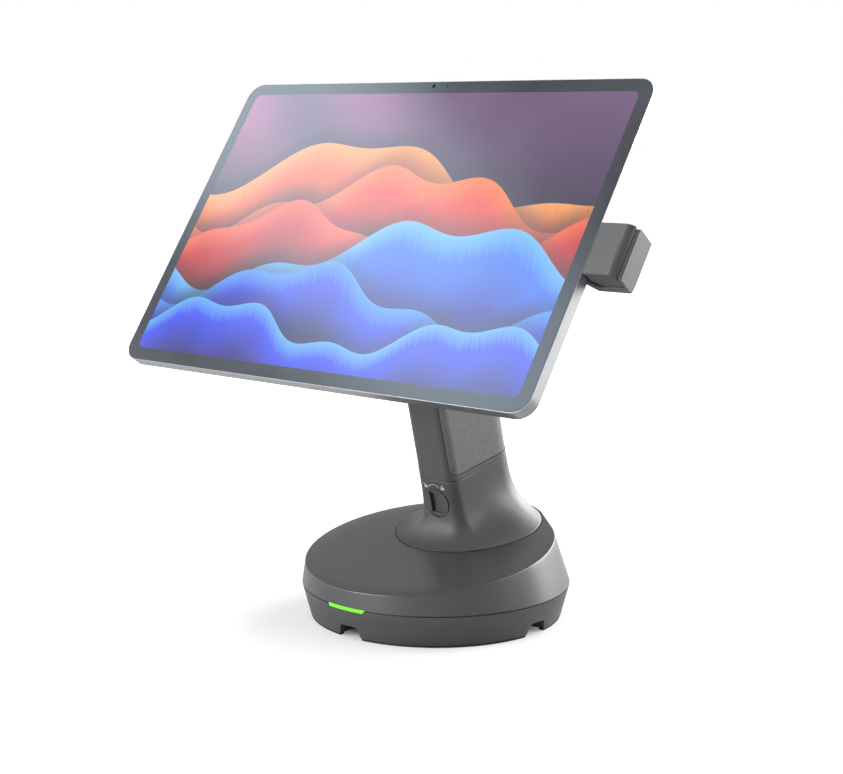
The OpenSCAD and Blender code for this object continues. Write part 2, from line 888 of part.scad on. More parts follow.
module handle_shell() {
    color("#515356")
        at_neck()
            difference() {
                handle_bar(handle_bottom, handle_top);
                handle_bar(core_bottom, handle_top + over, handle_wall);
                translate([-flange_half - seat_gap, flange_front - seat_gap, handle_bottom - over])
                    cube([
                        2 * (flange_half + seat_gap),
                        flange_back - flange_front + 2 * seat_gap,
                        2 * spigot_flange_t
                    ]);
                translate([0, contact_y, handle_bottom - over]) {
                    block([contact_size[0] + 2 * seat_gap, contact_size[1] + 2 * seat_gap, contact_t + over]);
                    cylinder(r = wire_r, h = 2 * spigot_flange_t);
                }
                difference() {
                    grip_room(seam_gap);
                    handle_bar(handle_bottom, handle_top, grip_t);
                }
            }
}

module handle_grip() {
    color("#616366")
        at_neck()
            difference() {
                intersection() {
                    handle_bar(handle_bottom, handle_top, grip_sunk);
                    grip_room();
                }
                handle_bar(handle_bottom, handle_top, grip_t - seat_gap);
            }
}

// Docking spigot: a flange in the handle's bottom and a tongue slotted for the lock's cross bar
module handle_spigot() {
    slot_w = cam_w + 2 * slide_gap;
    bar_room = cam_t + 2 * tip_gap;
    color("#a9acb0")
        at_neck()
            difference() {
                union() {
                    translate([0, 0, spigot_tip])
                        block([spigot_size[0], spigot_size[1], handle_bottom - spigot_tip + over]);
                    translate([-flange_half, flange_front, handle_bottom])
                        cube([2 * flange_half, flange_back - flange_front, spigot_flange_t]);
                }
                translate([-slot_w / 2, spigot_front - over, spigot_tip - over])
                    cube([slot_w, cam_wall + bar_room + over, lock_up - spigot_tip + over]);
                translate([0, spigot_front + cam_wall, lock_up])
                    rotate([-90, 0, 0]) cylinder(r = cam_len / 2 + 2 * slide_gap, h = bar_room);
                translate([0, spigot_front - over, lock_up])
                    rotate([-90, 0, 0]) cylinder(r = slot_w / 2, h = cam_wall + 2 * over);
                spigot_screw_places() flush_screw_hole(spigot_flange_t + over);
            }
}

module spigot_screw_places() {
    for (x = [-spigot_screw_x, spigot_screw_x]) translate([x, spigot_screw_y, handle_bottom]) children();
}

module spigot_screws() { color("#c9cbce") at_neck() spigot_screw_places() flush_screw(spigot_screw_len); }

module contact_plate() {
    color("#b9a06a")
        at_neck()
            translate([0, contact_y, handle_bottom]) block([contact_size[0], contact_size[1], contact_t]);
}

module yoke_screw_places() { for (y = yoke_screw_y) translate([0, y, yoke_top]) children(); }

module yoke_screw_holes() {
    deep = yoke_screw_len + tip_gap;
    yoke_screw_places() translate([0, 0, -deep]) cylinder(r = screw_r + seat_gap, h = deep + over);
}

module handle_core() {
    color("#a9acb0")
        at_neck()
            difference() {
                translate([-core_half, flange_front, core_bottom])
                    cube([2 * core_half, flange_back - flange_front, handle_top - core_bottom]);
                spigot_screw_places() cylinder(r = screw_r + seat_gap, h = spigot_screw_len + tip_gap);
                yoke_screw_holes();
            }
}

// Yoke on top of the handle, with an ear on each side of the tilt barrel
module tilt_yoke() {
    low = yoke_top - ear_foot;
    color("#4b4d50")
        at_neck()
            difference() {
                union() {
                    handle_bar(handle_top, yoke_top);
                    for (x = [-1, 1])
                        translate([x * (ear_in + ear_t / 2), 0, 0])
                            across(ear_t)
                                rounded_outline([
                                    [-pivot_forward, pivot_up, ear_r],
                                    [-pivot_forward - ear_r + ear_corner, low, ear_corner],
                                    [flange_back, low, ear_corner]
                                ]);
                }
                translate([0, -pivot_forward, pivot_up]) across(3 * ear_out) circle(r = pin_r + seat_gap);
                translate([0, contact_y, handle_top - over]) cylinder(r = wire_r, h = yoke_t + 2 * over);
                yoke_screw_holes();
            }
}

module yoke_screws() {
    color("#c9cbce")
        at_neck() yoke_screw_places() {
            translate([0, 0, -yoke_screw_len]) cylinder(r = screw_r, h = yoke_screw_len + over);
            cylinder(r = cap_r, h = cap_t);
        }
}

module tilt_pin() {
    color("#c9cbce")
        at_pivot()
            translate([-ear_out - pin_head_t, 0, 0])
                rotate([0, 90, 0]) {
                    cylinder(r = pin_head_r, h = pin_head_t);
                    cylinder(r = pin_r, h = pin_head_t + 2 * ear_out + tilt_nut_t + pin_tail);
                }
}

module tilt_nut() {
    color("#c9cbce")
        at_pivot()
            translate([ear_out + seat_gap, 0, 0])
                rotate([0, 90, 0]) hex_nut(pin_head_r, pin_r + seat_gap, tilt_nut_t);
}

module friction_washers() {
    color("#b9a06a")
        at_pivot()
            for (side = [0, 1])
                mirror([side, 0, 0])
                    translate([barrel_half + seat_gap, 0, 0])
                        rotate([0, 90, 0]) ring(barrel_r, pin_r + seat_gap, washer_t);
}

// Head

module tilt_hub() {
    web = hub_len - flange_t - turn_end;
    color("#4b4d50")
        at_pivot()
            difference() {
                union() {
                    across(2 * barrel_half) circle(r = barrel_r);
                    translate([-barrel_half, -turn_end - over, -hub_half])
                        cube([2 * barrel_half, turn_end + over, 2 * hub_half]);
                    translate([0, -turn_end, 0])
                        rotate([90, 0, 0]) cylinder(r1 = hub_r, r2 = flange_r - flange_rim, h = web);
                    rod(flange_r, -hub_len, flange_t);
                }
                across(3 * ear_out) circle(r = pin_r + run_gap);
                rod(turn_r + run_gap, -hub_len - over, hub_len + over - turn_end + tip_gap);
                translate([0, -turn_groove_y, 0]) cylinder(r = screw_r + seat_gap, h = flange_r);
            }
}

module turn_washer() {
    color("#e4e2da")
        at_pivot()
            translate([0, -hub_len - seat_gap, 0])
                rotate([90, 0, 0]) ring(flange_r - flange_rim / 2, turn_r + slide_gap, turn_washer_t);
}

// Screw whose tip runs in the groove of the turn screw and keeps it from pulling out
module turn_lock_screw() {
    low = turn_groove_r + slide_gap;
    shoulder = turn_r + 2 * slide_gap;
    color("#c9cbce")
        at_pivot()
            translate([0, -turn_groove_y, 0]) {
                translate([0, 0, low]) cylinder(r = turn_groove_w / 2 - slide_gap, h = shoulder - low + over);
                translate([0, 0, shoulder]) cylinder(r = screw_r, h = hub_r - shoulder);
            }
}

// Bracket and connector housing

module bracket_plate() {
    color("#3a3c3f")
        at_tablet()
            difference() {
                slab(bracket_y, bracket_t) rounded_rect(plate_w, plate_h, plate_round);
                rod(turn_r + seat_gap, bracket_y - over, bracket_t + 2 * over);
                rod(turn_head_r + seat_gap, bracket_y - over, turn_head_t + over);
                arm_screw_places() arm_screw_hole();
            }
}

module turn_screw() {
    groove_y = pivot_depth - turn_groove_y - turn_groove_w / 2;
    color("#c9cbce")
        at_tablet()
            difference() {
                union() {
                    rod(turn_head_r, bracket_y, turn_head_t);
                    rod(turn_r, bracket_y, pivot_depth - turn_end - bracket_y);
                }
                translate([0, groove_y, 0])
                    rotate([-90, 0, 0]) ring(2 * turn_r, turn_groove_r, turn_groove_w);
            }
}

module adhesive_pad() {
    color("#1d1d1f")
        at_tablet()
            difference() {
                slab(pad_y, glue_t) rounded_rect(plate_w, plate_h, plate_round, glue_in);
                rod(turn_head_r + over, pad_y - over, glue_t + 2 * over);
            }
}

module arm_screw_places() { for (x = arm_screw_x) translate([x, arm_back, -housing_drop]) children(); }

module arm_screw_hole() {
    translate([0, over, 0])
        rotate([90, 0, 0]) cylinder(r = screw_r + seat_gap, h = arm_t + bracket_t + 2 * over);
}

module housing_screw_places() {
    for (z = [-housing_screw_z, housing_screw_z])
        translate([housing_screw_x, cover_back, z - housing_drop]) children();
}

module side_arm() {
    tip = housing_x - cover_t - 2.5 - arm_tip_round;
    root = arm_start + arm_round;
    tip_z = arm_half - arm_tip_round;
    root_z = arm_half - arm_round;
    color("#3a3c3f")
        at_tablet()
            difference() {
                translate([0, 0, -housing_drop])
                    slab(bracket_back, arm_t)
                        rounded_outline([
                            [tip, tip_z, arm_tip_round], [root, root_z, arm_round],
                            [root, -root_z, arm_round], [tip, -tip_z, arm_tip_round]
                        ]);
                arm_screw_places() arm_screw_hole();
                housing_screw_places() rotate([90, 0, 0]) flush_screw_hole(cover_t + arm_t + over);
            }
}

module arm_screws() {
    color("#c9cbce")
        at_tablet() arm_screw_places() {
            rotate([90, 0, 0]) cylinder(r = screw_r, h = arm_t + bracket_t - slide_gap);
            rotate([-90, 0, 0]) cylinder(r = cap_r, h = cap_t);
        }
}

// Cover behind and outside the boot: one bent section, its ends cut slanting in side view
module connector_cover() {
    lip = [cover_edge + cover_lip, pad_y + slide_gap];
    inner = housing_x - cover_t;
    front = cover_y + cover_corner;
    back = crown_back + cover_corner;
    color("#6b6d70")
        at_tablet()
            difference() {
                intersection() {
                    translate([0, 0, housing_low - over])
                        linear_extrude(housing_h + 2 * over)
                            difference() {
                                polygon([
                                    [housing_x - cover_front_bevel[0], cover_y],
                                    [housing_x, cover_y + cover_front_bevel[1]],
                                    [housing_x, crown_back - cover_bevel],
                                    [housing_x - cover_bevel, crown_back], [cover_bend, crown_back],
                                    [cover_edge, pad_y + cover_bevel], lip, [lip[0], cover_y]
                                ]);
                                polygon([
                                    [inner, cover_y - over], [inner, bracket_back],
                                    [cover_bend, bracket_back], lip, [lip[0] - over, cover_y - over]
                                ]);
                            }
                    across(4 * housing_x)
                        rounded_outline([
                            [back, housing_top - cover_fall - cover_corner, cover_corner],
                            [front, housing_top - cover_corner, cover_corner],
                            [front, housing_low + cover_fall + cover_corner, cover_corner],
                            [back, housing_low + cover_corner, cover_corner]
                        ]);
                    across(4 * housing_x)
                        translate([crown_back - crown_r, crown_up]) circle(r = crown_r);
                }
                translate([0, bracket_back - seat_gap, -arm_half - seat_gap - housing_drop])
                    cube([inner - cover_t, arm_t + seat_gap, 2 * (arm_half + seat_gap)]);
                housing_screw_places() {
                    rotate([90, 0, 0]) flush_screw_hole(cover_t + arm_t);
                    rotate([-90, 0, 0]) cylinder(r = screw_head_r + seat_gap, h = cover_crown + over);
                }
            }
}

module housing_screws() {
    color("#c9cbce")
        at_tablet() housing_screw_places() rotate([90, 0, 0]) flush_screw(cover_t + arm_t - seat_gap);
}

module connector_boot() {
    near = boot_near;
    far = housing_x - 2 * seam_gap;
    deep = bracket_back - seam_gap;
    inner = housing_x - cover_t - seam_gap;
    color("#5b5d60")
        at_tablet()
            difference() {
                translate([0, 0, housing_low + 1.2])
                    linear_extrude(housing_h - 0.9) {
                        intersection() {
                            translate([near, boot_y]) square([far - near, boot_step_y - boot_y]);
                            union() {
                                translate([near, boot_y]) square([far - near - boot_round, deep]);
                                translate([far - boot_round, boot_y + boot_round]) circle(r = boot_round);
                            }
                        }
                        polygon([
                            [near + over, boot_step_y - over], [inner, boot_step_y - over],
                            [inner, deep - cover_bevel], [inner - cover_bevel, deep],
                            [near + 6, deep], [near + over, pad_y - tip_gap]
                        ]);
                    }
                translate([near - over, port_y - plug_size[1] / 2 - seat_gap, -plug_size[2] / 2 - seat_gap])
                    cube([
                        plug_size[0] + over + 2 * seat_gap,
                        plug_size[1] + 2 * seat_gap,
                        plug_size[2] + 2 * seat_gap
                    ]);
            }
}

module charging_plug() {
    near = boot_near + seat_gap;
    color("#18181a")
        at_tablet() {
            translate([near, port_y - plug_size[1] / 2, -plug_size[2] / 2]) cube(plug_size);
            translate([near - tongue_size[0], port_y - tongue_size[1] / 2, -tongue_size[2] / 2])
                cube([tongue_size[0] + over, tongue_size[1], tongue_size[2]]);
        }
}

// Tablet

module tablet_outline(inset) { rounded_rect(tablet_w, tablet_h, tablet_round, inset); }

module button_hole(x, w) {
    gap = slide_gap / 2;
    translate([x - w / 2 - gap, button_y - button_t / 2 - gap, half_h - 2 * case_wall])
        cube([w + 2 * gap, button_t + 2 * gap, 3 * case_wall]);
}

// Button with a shoulder that keeps it in behind the wall
module button(x, w) {
    low = half_h - case_wall - slide_gap - button_shoulder[2];
    translate([x - w / 2, button_y - button_t / 2, low]) cube([w, button_t, half_h + button_proud - low]);
    translate([x - w / 2 - button_shoulder[0], button_y - button_t / 2 - button_shoulder[1], low])
        cube([w + 2 * button_shoulder[0], button_t + 2 * button_shoulder[1], button_shoulder[2]]);
}

module camera_outline(grow = 0) {
    translate([camera_x, camera_z])
        rounded_outline([[camera_pitch / 2, 0, camera_round], [-camera_pitch / 2, 0, camera_round]], -grow);
}

module tablet_shell() {
    port_t = tongue_size[1] + 2 * port_gap;
    port_h = tongue_size[2] + 2 * port_gap;
    skin = 0.2;
    color("#d4d6d9")
        at_tablet()
            difference() {
                hull() {
                    slab(case_front, tablet_t - case_front - edge_chamfer) tablet_outline(0, $fn = 64);
                    slab(tablet_t - skin, skin) tablet_outline(edge_chamfer, $fn = 64);
                }
                slab(-over, screen_y + over) tablet_outline(glass_inset);
                slab(0, case_floor) tablet_outline(case_wall);
                slab(0, tablet_t + over) camera_outline(seat_gap);
                translate([half_w - over - case_wall, port_y - port_t / 2, -port_h / 2])
                    cube([2 * over + case_wall, port_t, port_h]);
                button_hole(power_x, power_w);
                button_hole(volume_x, volume_w);
            }
}

module tablet_glass() {
    color("#4a5058") at_tablet() slab(glass_y, glass_t) tablet_outline(glass_inset + seat_gap);
}

module tablet_display() {
    color("#6a5578")
        at_tablet()
            slab(screen_y, screen_t) rounded_rect(tablet_w - 2 * bezel, tablet_h - 2 * bezel, screen_round);
}

module tablet_battery() {
    y = screen_y + screen_t + slide_gap;
    color("#2c2e31")
        at_tablet()
            translate([battery_x, 0, 0])
                slab(y, case_floor - seat_gap - y)
                    rounded_rect(battery_size[0], battery_size[1], inner_round);
}

module tablet_board() {
    color("#1f5b38")
        at_tablet()
            translate([main_board_x, 0, 0])
                slab(case_floor - slide_gap - main_board_t, main_board_t)
                    rounded_rect(main_board_size[0], main_board_size[1], inner_round);
}

module front_camera() {
    color("#101114")
        at_tablet()
            translate([0, 0, half_h - case_wall - front_lens_r - slide_gap])
                rod(front_lens_r, screen_y, case_floor - screen_y - over);
}

module rear_camera() {
    face = tablet_t + lens_proud;
    color("#24262a")
        at_tablet()
            difference() {
                slab(case_floor - over, face + over - case_floor) camera_outline();
                for (x = [-camera_pitch / 2, camera_pitch / 2])
                    translate([camera_x + x, 0, camera_z]) rod(lens_r, face - lens_deep, lens_deep + over);
            }
}

module power_button() { color("#c4c6c9") at_tablet() button(power_x, power_w); }

module volume_button() { color("#c4c6c9") at_tablet() button(volume_x, volume_w); }

rubber_feet();
counter_pad();
cable_guides();
lower_housing();
base_plate();
plate_screws();
upper_cover();
cover_screws();
led_light_bar();
led_board();
board_spacers();
control_board();
power_inlet();
swivel_bush();
neck_foot();
swivel_spindle();
spindle_screws();
thrust_washer();
spring_washer();
spindle_nut();
dock_contacts();
lock_bush();
lock_knob();
lock_cam();
lock_clip();
handle_shell();
handle_grip();
handle_spigot();
spigot_screws();
contact_plate();
handle_core();
tilt_yoke();
yoke_screws();
tilt_pin();
tilt_nut();
friction_washers();
tilt_hub();
turn_washer();
turn_lock_screw();
bracket_plate();
turn_screw();
adhesive_pad();
side_arm();
arm_screws();
connector_cover();
connector_boot();
housing_screws();
charging_plug();
tablet_shell();
tablet_glass();
tablet_display();
tablet_battery();
tablet_board();
front_camera();
rear_camera();
power_button();
volume_button();
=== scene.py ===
"""Looks of the tablet kiosk stand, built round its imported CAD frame."""
import json
import math

import bpy
from mathutils import Matrix, Quaternion, Vector

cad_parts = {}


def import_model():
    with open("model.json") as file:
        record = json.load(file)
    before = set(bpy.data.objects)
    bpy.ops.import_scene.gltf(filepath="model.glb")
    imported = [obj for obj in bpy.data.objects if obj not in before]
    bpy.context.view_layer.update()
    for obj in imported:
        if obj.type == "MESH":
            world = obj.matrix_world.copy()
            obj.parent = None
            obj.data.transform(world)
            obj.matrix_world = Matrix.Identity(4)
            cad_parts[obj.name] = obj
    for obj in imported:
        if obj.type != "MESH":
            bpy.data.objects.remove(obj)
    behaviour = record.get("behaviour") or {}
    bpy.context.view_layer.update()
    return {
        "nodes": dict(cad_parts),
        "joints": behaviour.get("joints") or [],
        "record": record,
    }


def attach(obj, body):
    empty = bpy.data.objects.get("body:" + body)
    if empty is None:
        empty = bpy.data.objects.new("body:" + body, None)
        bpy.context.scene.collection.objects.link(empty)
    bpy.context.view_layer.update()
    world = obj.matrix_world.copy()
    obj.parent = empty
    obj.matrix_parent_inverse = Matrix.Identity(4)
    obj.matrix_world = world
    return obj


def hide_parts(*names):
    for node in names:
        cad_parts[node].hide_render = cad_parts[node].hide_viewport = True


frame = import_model()

MM = 0.001
RIGHT = Vector((1.0, 0.0, 0.0))

# Base in millimetres: radius, height of the seam between its shells and of its slanted top,
# and the top's outline, a circle set in and forward joined to a lobe round the neck foot
BASE_R = 75.5
SEAM_H = 18.3
SEAM_GAP = 0.4
TOP_H = 39.5
RIM_IN = 5.1
RIM_FORWARD = 5.5
RIM_ROUND = 0.25
LOBE_R = 43.8
COVER_T = 2.6

# Rows of the cover's wall, how far up they reach, rows of its rounded rim, and rings of its top
WALL_ROWS = 12
WALL_SHARE = 0.985
RIM_ROWS = 5
TOP_SHARES = (0.15, 0.35, 0.6)

# Seat of the neck foot on the slanted top, in millimetres
FOOT_R = 42.0
FOOT_BACK = 29.4
FOOT_GAP = 0.1
BUSH_R = 13.1
# Painted shade round the neck foot: a thin dark ring standing for the seam's shadow, with its gap to the
# foot, width, thickness and steps
SEAM_SHADOW_GAP = 0.1
SEAM_SHADOW_W = 0.7
SEAM_SHADOW_T = 0.05
SEAM_SHADOW_STEPS = 192

# Section of the handle and the line where it parts from the neck foot, in millimetres
HANDLE_D = 53.0
FRONT_HALF = 14.0
BACK_HALF = 17.5
FRONT_ROUND = 6.0
BACK_ROUND = 14.0
NECK_BACK = 4.4
PART_UP = 37.8
SEAM_IN = 0.25

# Flare of the neck foot: lip in millimetres, then powers of the curve, the stretch over which it
# changes from back to front in foot radii, how far the rim turns with the section's faces,
# and the rings from low to high, crowded towards the lip
LIP_TOP = 0.6
LIP_CUT = 0.1
LIP_ROUND = 0.2
LIP_ROWS = 3
FLARE_POWER = 3.2
FRONT_RISE = 1.55
RISE_BACK = 0.4
RISE_FRONT = -0.7
RIM_FACING = 0.3
FLARE_LOW = 0.005
FLARE_HIGH = 0.992
FLARE_STEPS = 72
FLARE_CROWD = 1.25

# Rooms cut into the neck foot, and how far a cutter reaches past a face, in millimetres
LOCK_UP = 24.0
KNOB_R = 8.0
KNOB_ROOM = 0.3
KNOB_AHEAD = 1.0
KNOB_DEEP = 9.0
SOCKET_X = 11.3
SOCKET_Y = 8.3
SOCKET_DEEP = 27.0
CONTACT_X = 9.3
CONTACT_FRONT = 12.2
CONTACT_BACK = 19.8
CONTACT_DEEP = 8.0
SPINDLE_ROOM_R = 18.2
SPINDLE_ROOM_UP = 5.2
CUT_PAST = 5.0

# Signs above the lock knob, in millimetres
PRINT_X = -1.0
PRINT_UP = 32.7
PRINT_LIFT = 0.01
PRINT_T = 0.04
SIGN_X = 6.0
SIGN_HALF = 1.25
SIGN_TALL = 1.5
BOW_OUT = 0.85
BOW_IN = 0.5
BOW_LIFT = 0.45
BOW_SWING = 1.1
ARROW_X = -0.3
ARROW_LOW = -2.6
ARROW_R = 5.0
ARROW_SPREAD = 36.0
ARROW_LINE = 0.14
ARROW_TIP = 0.8
ARROW_HALF = 0.5

# Tablet, in millimetres
TABLET_W = 285.0
TABLET_H = 185.0
TABLET_T = 8.3
GLUE_T = 1.0
BEZEL = 7.7
SCREEN_ROUND = 4.0
SCREEN_SOFT = 0.15
GLASS_FRONT = 0.1

# Windows in the tablet's border, in millimetres
DOT_UP = 89.5
CAMERA_DOT_R = 1.15
PUPIL_R = 0.55
SENSOR_X = 9.5
SENSOR_R = 0.6
SIDE_SENSOR = (-140.0, -12.6)
SIDE_SENSOR_R = 0.5
DOT_SINK = 0.01
DOT_T = 0.03
PUPIL_LIFT = 0.015
PUPIL_T = 0.02

# Camera fitted to the photo, in metres and radians, its lens and sensor in millimetres
CAMERA_AT = Vector((0.60478, -0.70873, 0.27784))
CAMERA_AZIMUTH = math.radians(40.978)
CAMERA_DOWN = math.radians(9.135)
CAMERA_LENS = 72.43
CAMERA_SENSOR = 36.0
CAMERA_CLIP = (0.05, 30.0)

JOINTS = {joint["name"]: joint for joint in frame["joints"]}


def axis_of(name):
    return Vector(JOINTS[name]["axis"]).normalized()


def place_of(name):
    return Vector(JOINTS[name]["pos_m"])


def axes(origin, up):
    """Frame that takes millimetres, with its z axis along up and its x axis to the right."""
    back = up.cross(RIGHT)
    turn = Matrix((RIGHT, back, up)).transposed().to_4x4()
    turn.translation = origin
    return turn @ Matrix.Scale(MM, 4)


AT_SLANT = axes(Vector((0.0, 0.0, TOP_H * MM)), axis_of("base_swivel"))
AT_SWIVEL = axes(place_of("base_swivel"), axis_of("base_swivel"))
AT_NECK = axes(AT_SWIVEL @ Vector((0.0, NECK_BACK, 0.0)), axis_of("handle_lift"))
TABLET_BACK = -axis_of("tablet_turn")
TABLET_UP = RIGHT.cross(TABLET_BACK)
TABLET_FRONT = place_of("tablet_turn") - TABLET_BACK * (TABLET_T + GLUE_T) * MM
AT_TABLET = axes(TABLET_FRONT, TABLET_UP)


# Shaders

def linear(red, green, blue):
    """Linear colour of a display colour given from 0 to 255."""
    parts = [value / 255 for value in (red, green, blue)]
    bent = [p / 12.92 if p <= 0.04045 else ((p + 0.055) / 1.055) ** 2.4 for p in parts]
    return (*bent, 1.0)


def scaled(colour, factor):
    return (*[min(part * factor, 1.0) for part in colour[:3]], 1.0)


class Look:
    """One procedural material, with short calls for the nodes it is made of."""

    def __init__(self, name):
        self.material = bpy.data.materials.new(name)
        self.material.use_nodes = True
        self.tree = self.material.node_tree
        self.shader = self.tree.nodes["Principled BSDF"]
        self.place = self.add("ShaderNodeTexCoord").outputs["Object"]

    def add(self, kind, **settings):
        node = self.tree.nodes.new(kind)
        for key, value in settings.items():
            setattr(node, key, value)
        return node

    def put(self, socket, value):
        """Sets a socket to a plain value, or links it to another socket."""
        if isinstance(value, bpy.types.NodeSocket):
            self.tree.links.new(value, socket)
        else:
            socket.default_value = value

    def set(self, **inputs):
        """Sets the shader's own sockets, with _ for a blank in their names."""
        for key, value in inputs.items():
            self.put(self.shader.inputs[key.replace("_", " ")], value)

    def sums(self, operation, first, second=0.0, third=0.0):
        node = self.add("ShaderNodeMath", operation=operation)
        for socket, value in zip(node.inputs, (first, second, third)):
            self.put(socket, value)
        return node.outputs[0]

    def noise(self, size, detail=2.0, vector=None, roughness=0.5):
        """Noise whose grains are about size millimetres wide."""
        node = self.add("ShaderNodeTexNoise")
        self.put(node.inputs["Vector"], vector or self.place)
        node.inputs["Scale"].default_value = 1.0 / (size * MM) if vector is None else 1.0 / size
        node.inputs["Detail"].default_value = detail
        node.inputs["Roughness"].default_value = roughness
        return node.outputs["Fac"]

    def stretched(self, along, across, direction):
        """Place scaled so that noise on it runs in streaks along a direction."""
        node = self.add("ShaderNodeMapping")
        self.put(node.inputs["Vector"], self.place)
        factors = [1.0 / (along if abs(part) > 0.5 else across) / MM for part in direction]
        node.inputs["Scale"].default_value = factors
        return node.outputs["Vector"]

    def spread(self, value, low, high, start=0.3, end=0.7):
        """Maps a value between start and end onto low to high."""
        node = self.add("ShaderNodeMapRange")
        names = ("Value", "From Min", "From Max", "To Min", "To Max")
        for name, part in zip(names, (value, start, end, low, high)):
            self.put(node.inputs[name], part)
        return node.outputs["Result"]

    def step(self, value, start, end):
        """Soft step from 0 at start to 1 at end."""
        node = self.add("ShaderNodeMapRange", interpolation_type="SMOOTHSTEP")
        self.put(node.inputs["Value"], value)
        node.inputs["From Min"].default_value = start
        node.inputs["From Max"].default_value = end
        return node.outputs["Result"]

    def mix(self, factor, first, second, blend="MIX"):
        node = self.add("ShaderNodeMix", data_type="RGBA", blend_type=blend)
        self.put(node.inputs[0], factor)
        self.put(node.inputs[6], first)
        self.put(node.inputs[7], second)
        return node.outputs[2]

    def ramp(self, value, *stops):
        node = self.add("ShaderNodeValToRGB")
        self.put(node.inputs["Fac"], value)
        points = node.color_ramp.elements
        while len(points) < len(stops):
            points.new(0.5)
        for point, (at, colour) in zip(points, stops):
            point.position = at
            point.color = colour
        return node.outputs["Color"]

    def relief(self, height, depth, strength=1.0):
        """Bump of a height field that is depth millimetres deep."""
        node = self.add("ShaderNodeBump")
        node.inputs["Strength"].default_value = strength
        node.inputs["Distance"].default_value = depth * MM
        self.put(node.inputs["Height"], height)
        self.put(self.shader.inputs["Normal"], node.outputs["Normal"])


def moulded(name, colour, rough, grain=0.5, depth=0.015, mottle=0.02, specular=0.45, refraction=1.5):
    """Moulded plastic with a fine grain and slight unevenness."""
    look = Look(name)
    cloud = look.noise(22.0, 3.0)
    dark = scaled(colour, 1 - mottle)
    light = scaled(colour, 1 + mottle)
    look.set(Base_Color=look.mix(look.spread(cloud, 0.0, 1.0), dark, light))
    look.set(Roughness=look.spread(look.noise(6.0, 2.0), rough - 0.015, rough + 0.015))
    look.set(Specular_IOR_Level=specular)
    look.set(IOR=refraction)
    look.relief(look.noise(grain, 2.0), depth)
    return look.material


def pebbled(name, colour, rough, pebble, depth):
    """Rubber with a pebble grain, its colour painted lighter on the pebbles' tops and darker in the hollows
    between them as painted light and shade.
    """
    look = Look(name)
    cells = look.add("ShaderNodeTexVoronoi", feature="SMOOTH_F1")
    look.put(cells.inputs["Vector"], look.place)
    cells.inputs["Scale"].default_value = 1.0 / (pebble * MM)
    cells.inputs["Smoothness"].default_value = 0.6
    height = cells.outputs["Distance"]
    # Painted light and shade: colour lighter on the pebbles' tops and darker in the hollows between them,
    # following the bump
    look.set(Base_Color=look.mix(look.spread(height, 0.0, 1.0, 0.1, 0.8),
                                 scaled(colour, 1.08), scaled(colour, 0.86)))
    look.set(Roughness=look.spread(look.noise(5.0), rough - 0.05, rough + 0.05))
    look.set(Specular_IOR_Level=0.35)
    look.relief(look.sums("MULTIPLY", height, -1.0), depth)
    return look.material


def metal(name, colour, rough, direction=(1, 0, 0), along=30.0, across=0.3):
    """Bare metal with fine streaks along one direction."""
    look = Look(name)
    streaks = look.noise(1.0, 2.0, look.stretched(along, across, direction))
    look.set(Base_Color=look.mix(look.spread(streaks, 0.0, 1.0),
                                 scaled(colour, 0.92), scaled(colour, 1.05)))
    look.set(Metallic=1.0)
    look.set(Roughness=look.spread(look.noise(4.0), rough - 0.05, rough + 0.05))
    look.relief(streaks, 0.01, 0.5)
    return look.material


def blasted(name, colour, rough):
    """Bead-blasted anodised aluminium."""
    look = Look(name)
    cloud = look.noise(18.0, 3.0)
    look.set(Base_Color=look.mix(look.spread(cloud, 0.0, 1.0),
                                 scaled(colour, 0.97), scaled(colour, 1.03)))
    look.set(Metallic=0.85)
    look.set(Roughness=look.spread(look.noise(3.0), rough - 0.03, rough + 0.03))
    look.relief(look.noise(0.25, 1.0), 0.006)
    return look.material


def circuit_board():
    look = Look("circuit_board")
    tracks = look.noise(2.5, 4.0)
    look.set(Base_Color=look.ramp(tracks, (0.45, linear(10, 70, 38)), (0.55, linear(24, 112, 62))))
    look.set(Roughness=look.spread(tracks, 0.3, 0.5))
    look.relief(tracks, 0.05)
    return look.material


def light_bar():
    """Light pipe that glows green."""
    look = Look("light_bar")
    cloud = look.noise(9.0, 1.0)
    share = look.spread(cloud, 0.0, 1.0)
    look.set(Base_Color=look.mix(share, linear(70, 190, 20), linear(84, 206, 30)))
    look.set(Emission_Color=look.mix(share, linear(112, 250, 24), linear(130, 255, 44)))
    look.set(Emission_Strength=0.9)
    look.set(Roughness=look.spread(look.noise(3.0), 0.3, 0.4))
    return look.material


def dark_lens():
    look = Look("lens")
    rings = look.noise(3.0, 1.0)
    look.set(Base_Color=look.mix(look.spread(rings, 0.0, 1.0), linear(12, 14, 20), linear(26, 28, 38)))
    look.set(Roughness=look.spread(rings, 0.05, 0.12))
    look.set(Coat_Weight=0.6)
    return look.material


def tablet_coordinates(look):
    """Millimetres to the right and up from the middle of the tablet's front."""
    moved = look.add("ShaderNodeVectorMath", operation="SUBTRACT")
    look.put(moved.inputs[0], look.place)
    moved.inputs[1].default_value = TABLET_FRONT
    found = []
    for axis in (RIGHT, TABLET_UP):
        dot = look.add("ShaderNodeVectorMath", operation="DOT_PRODUCT")
        look.put(dot.inputs[0], moved.outputs[0])
        dot.inputs[1].default_value = axis
        found.append(look.sums("DIVIDE", dot.outputs["Value"], MM))
    return found


def crest(look, across, middle, *waves):
    """Height of a hill line: a level plus sine waves given by height, length and shift."""
    level = middle
    for height, length, shift in waves:
        phase = look.sums("MULTIPLY_ADD", across, 2 * math.pi / length, shift)
        level = look.sums("MULTIPLY_ADD", look.sums("SINE", phase), height, level)
    return level


# Bands in the sky of the screen picture: lean, turn in radians a millimetre and share,
# and the heights and places across, in millimetres, between which they come in
BAND_LEAN = 0.8
BAND_TURN = 0.055
BAND_SHARE = 0.75
BAND_UP = (10.0, 90.0)
BAND_ACROSS = (60.0, -130.0)

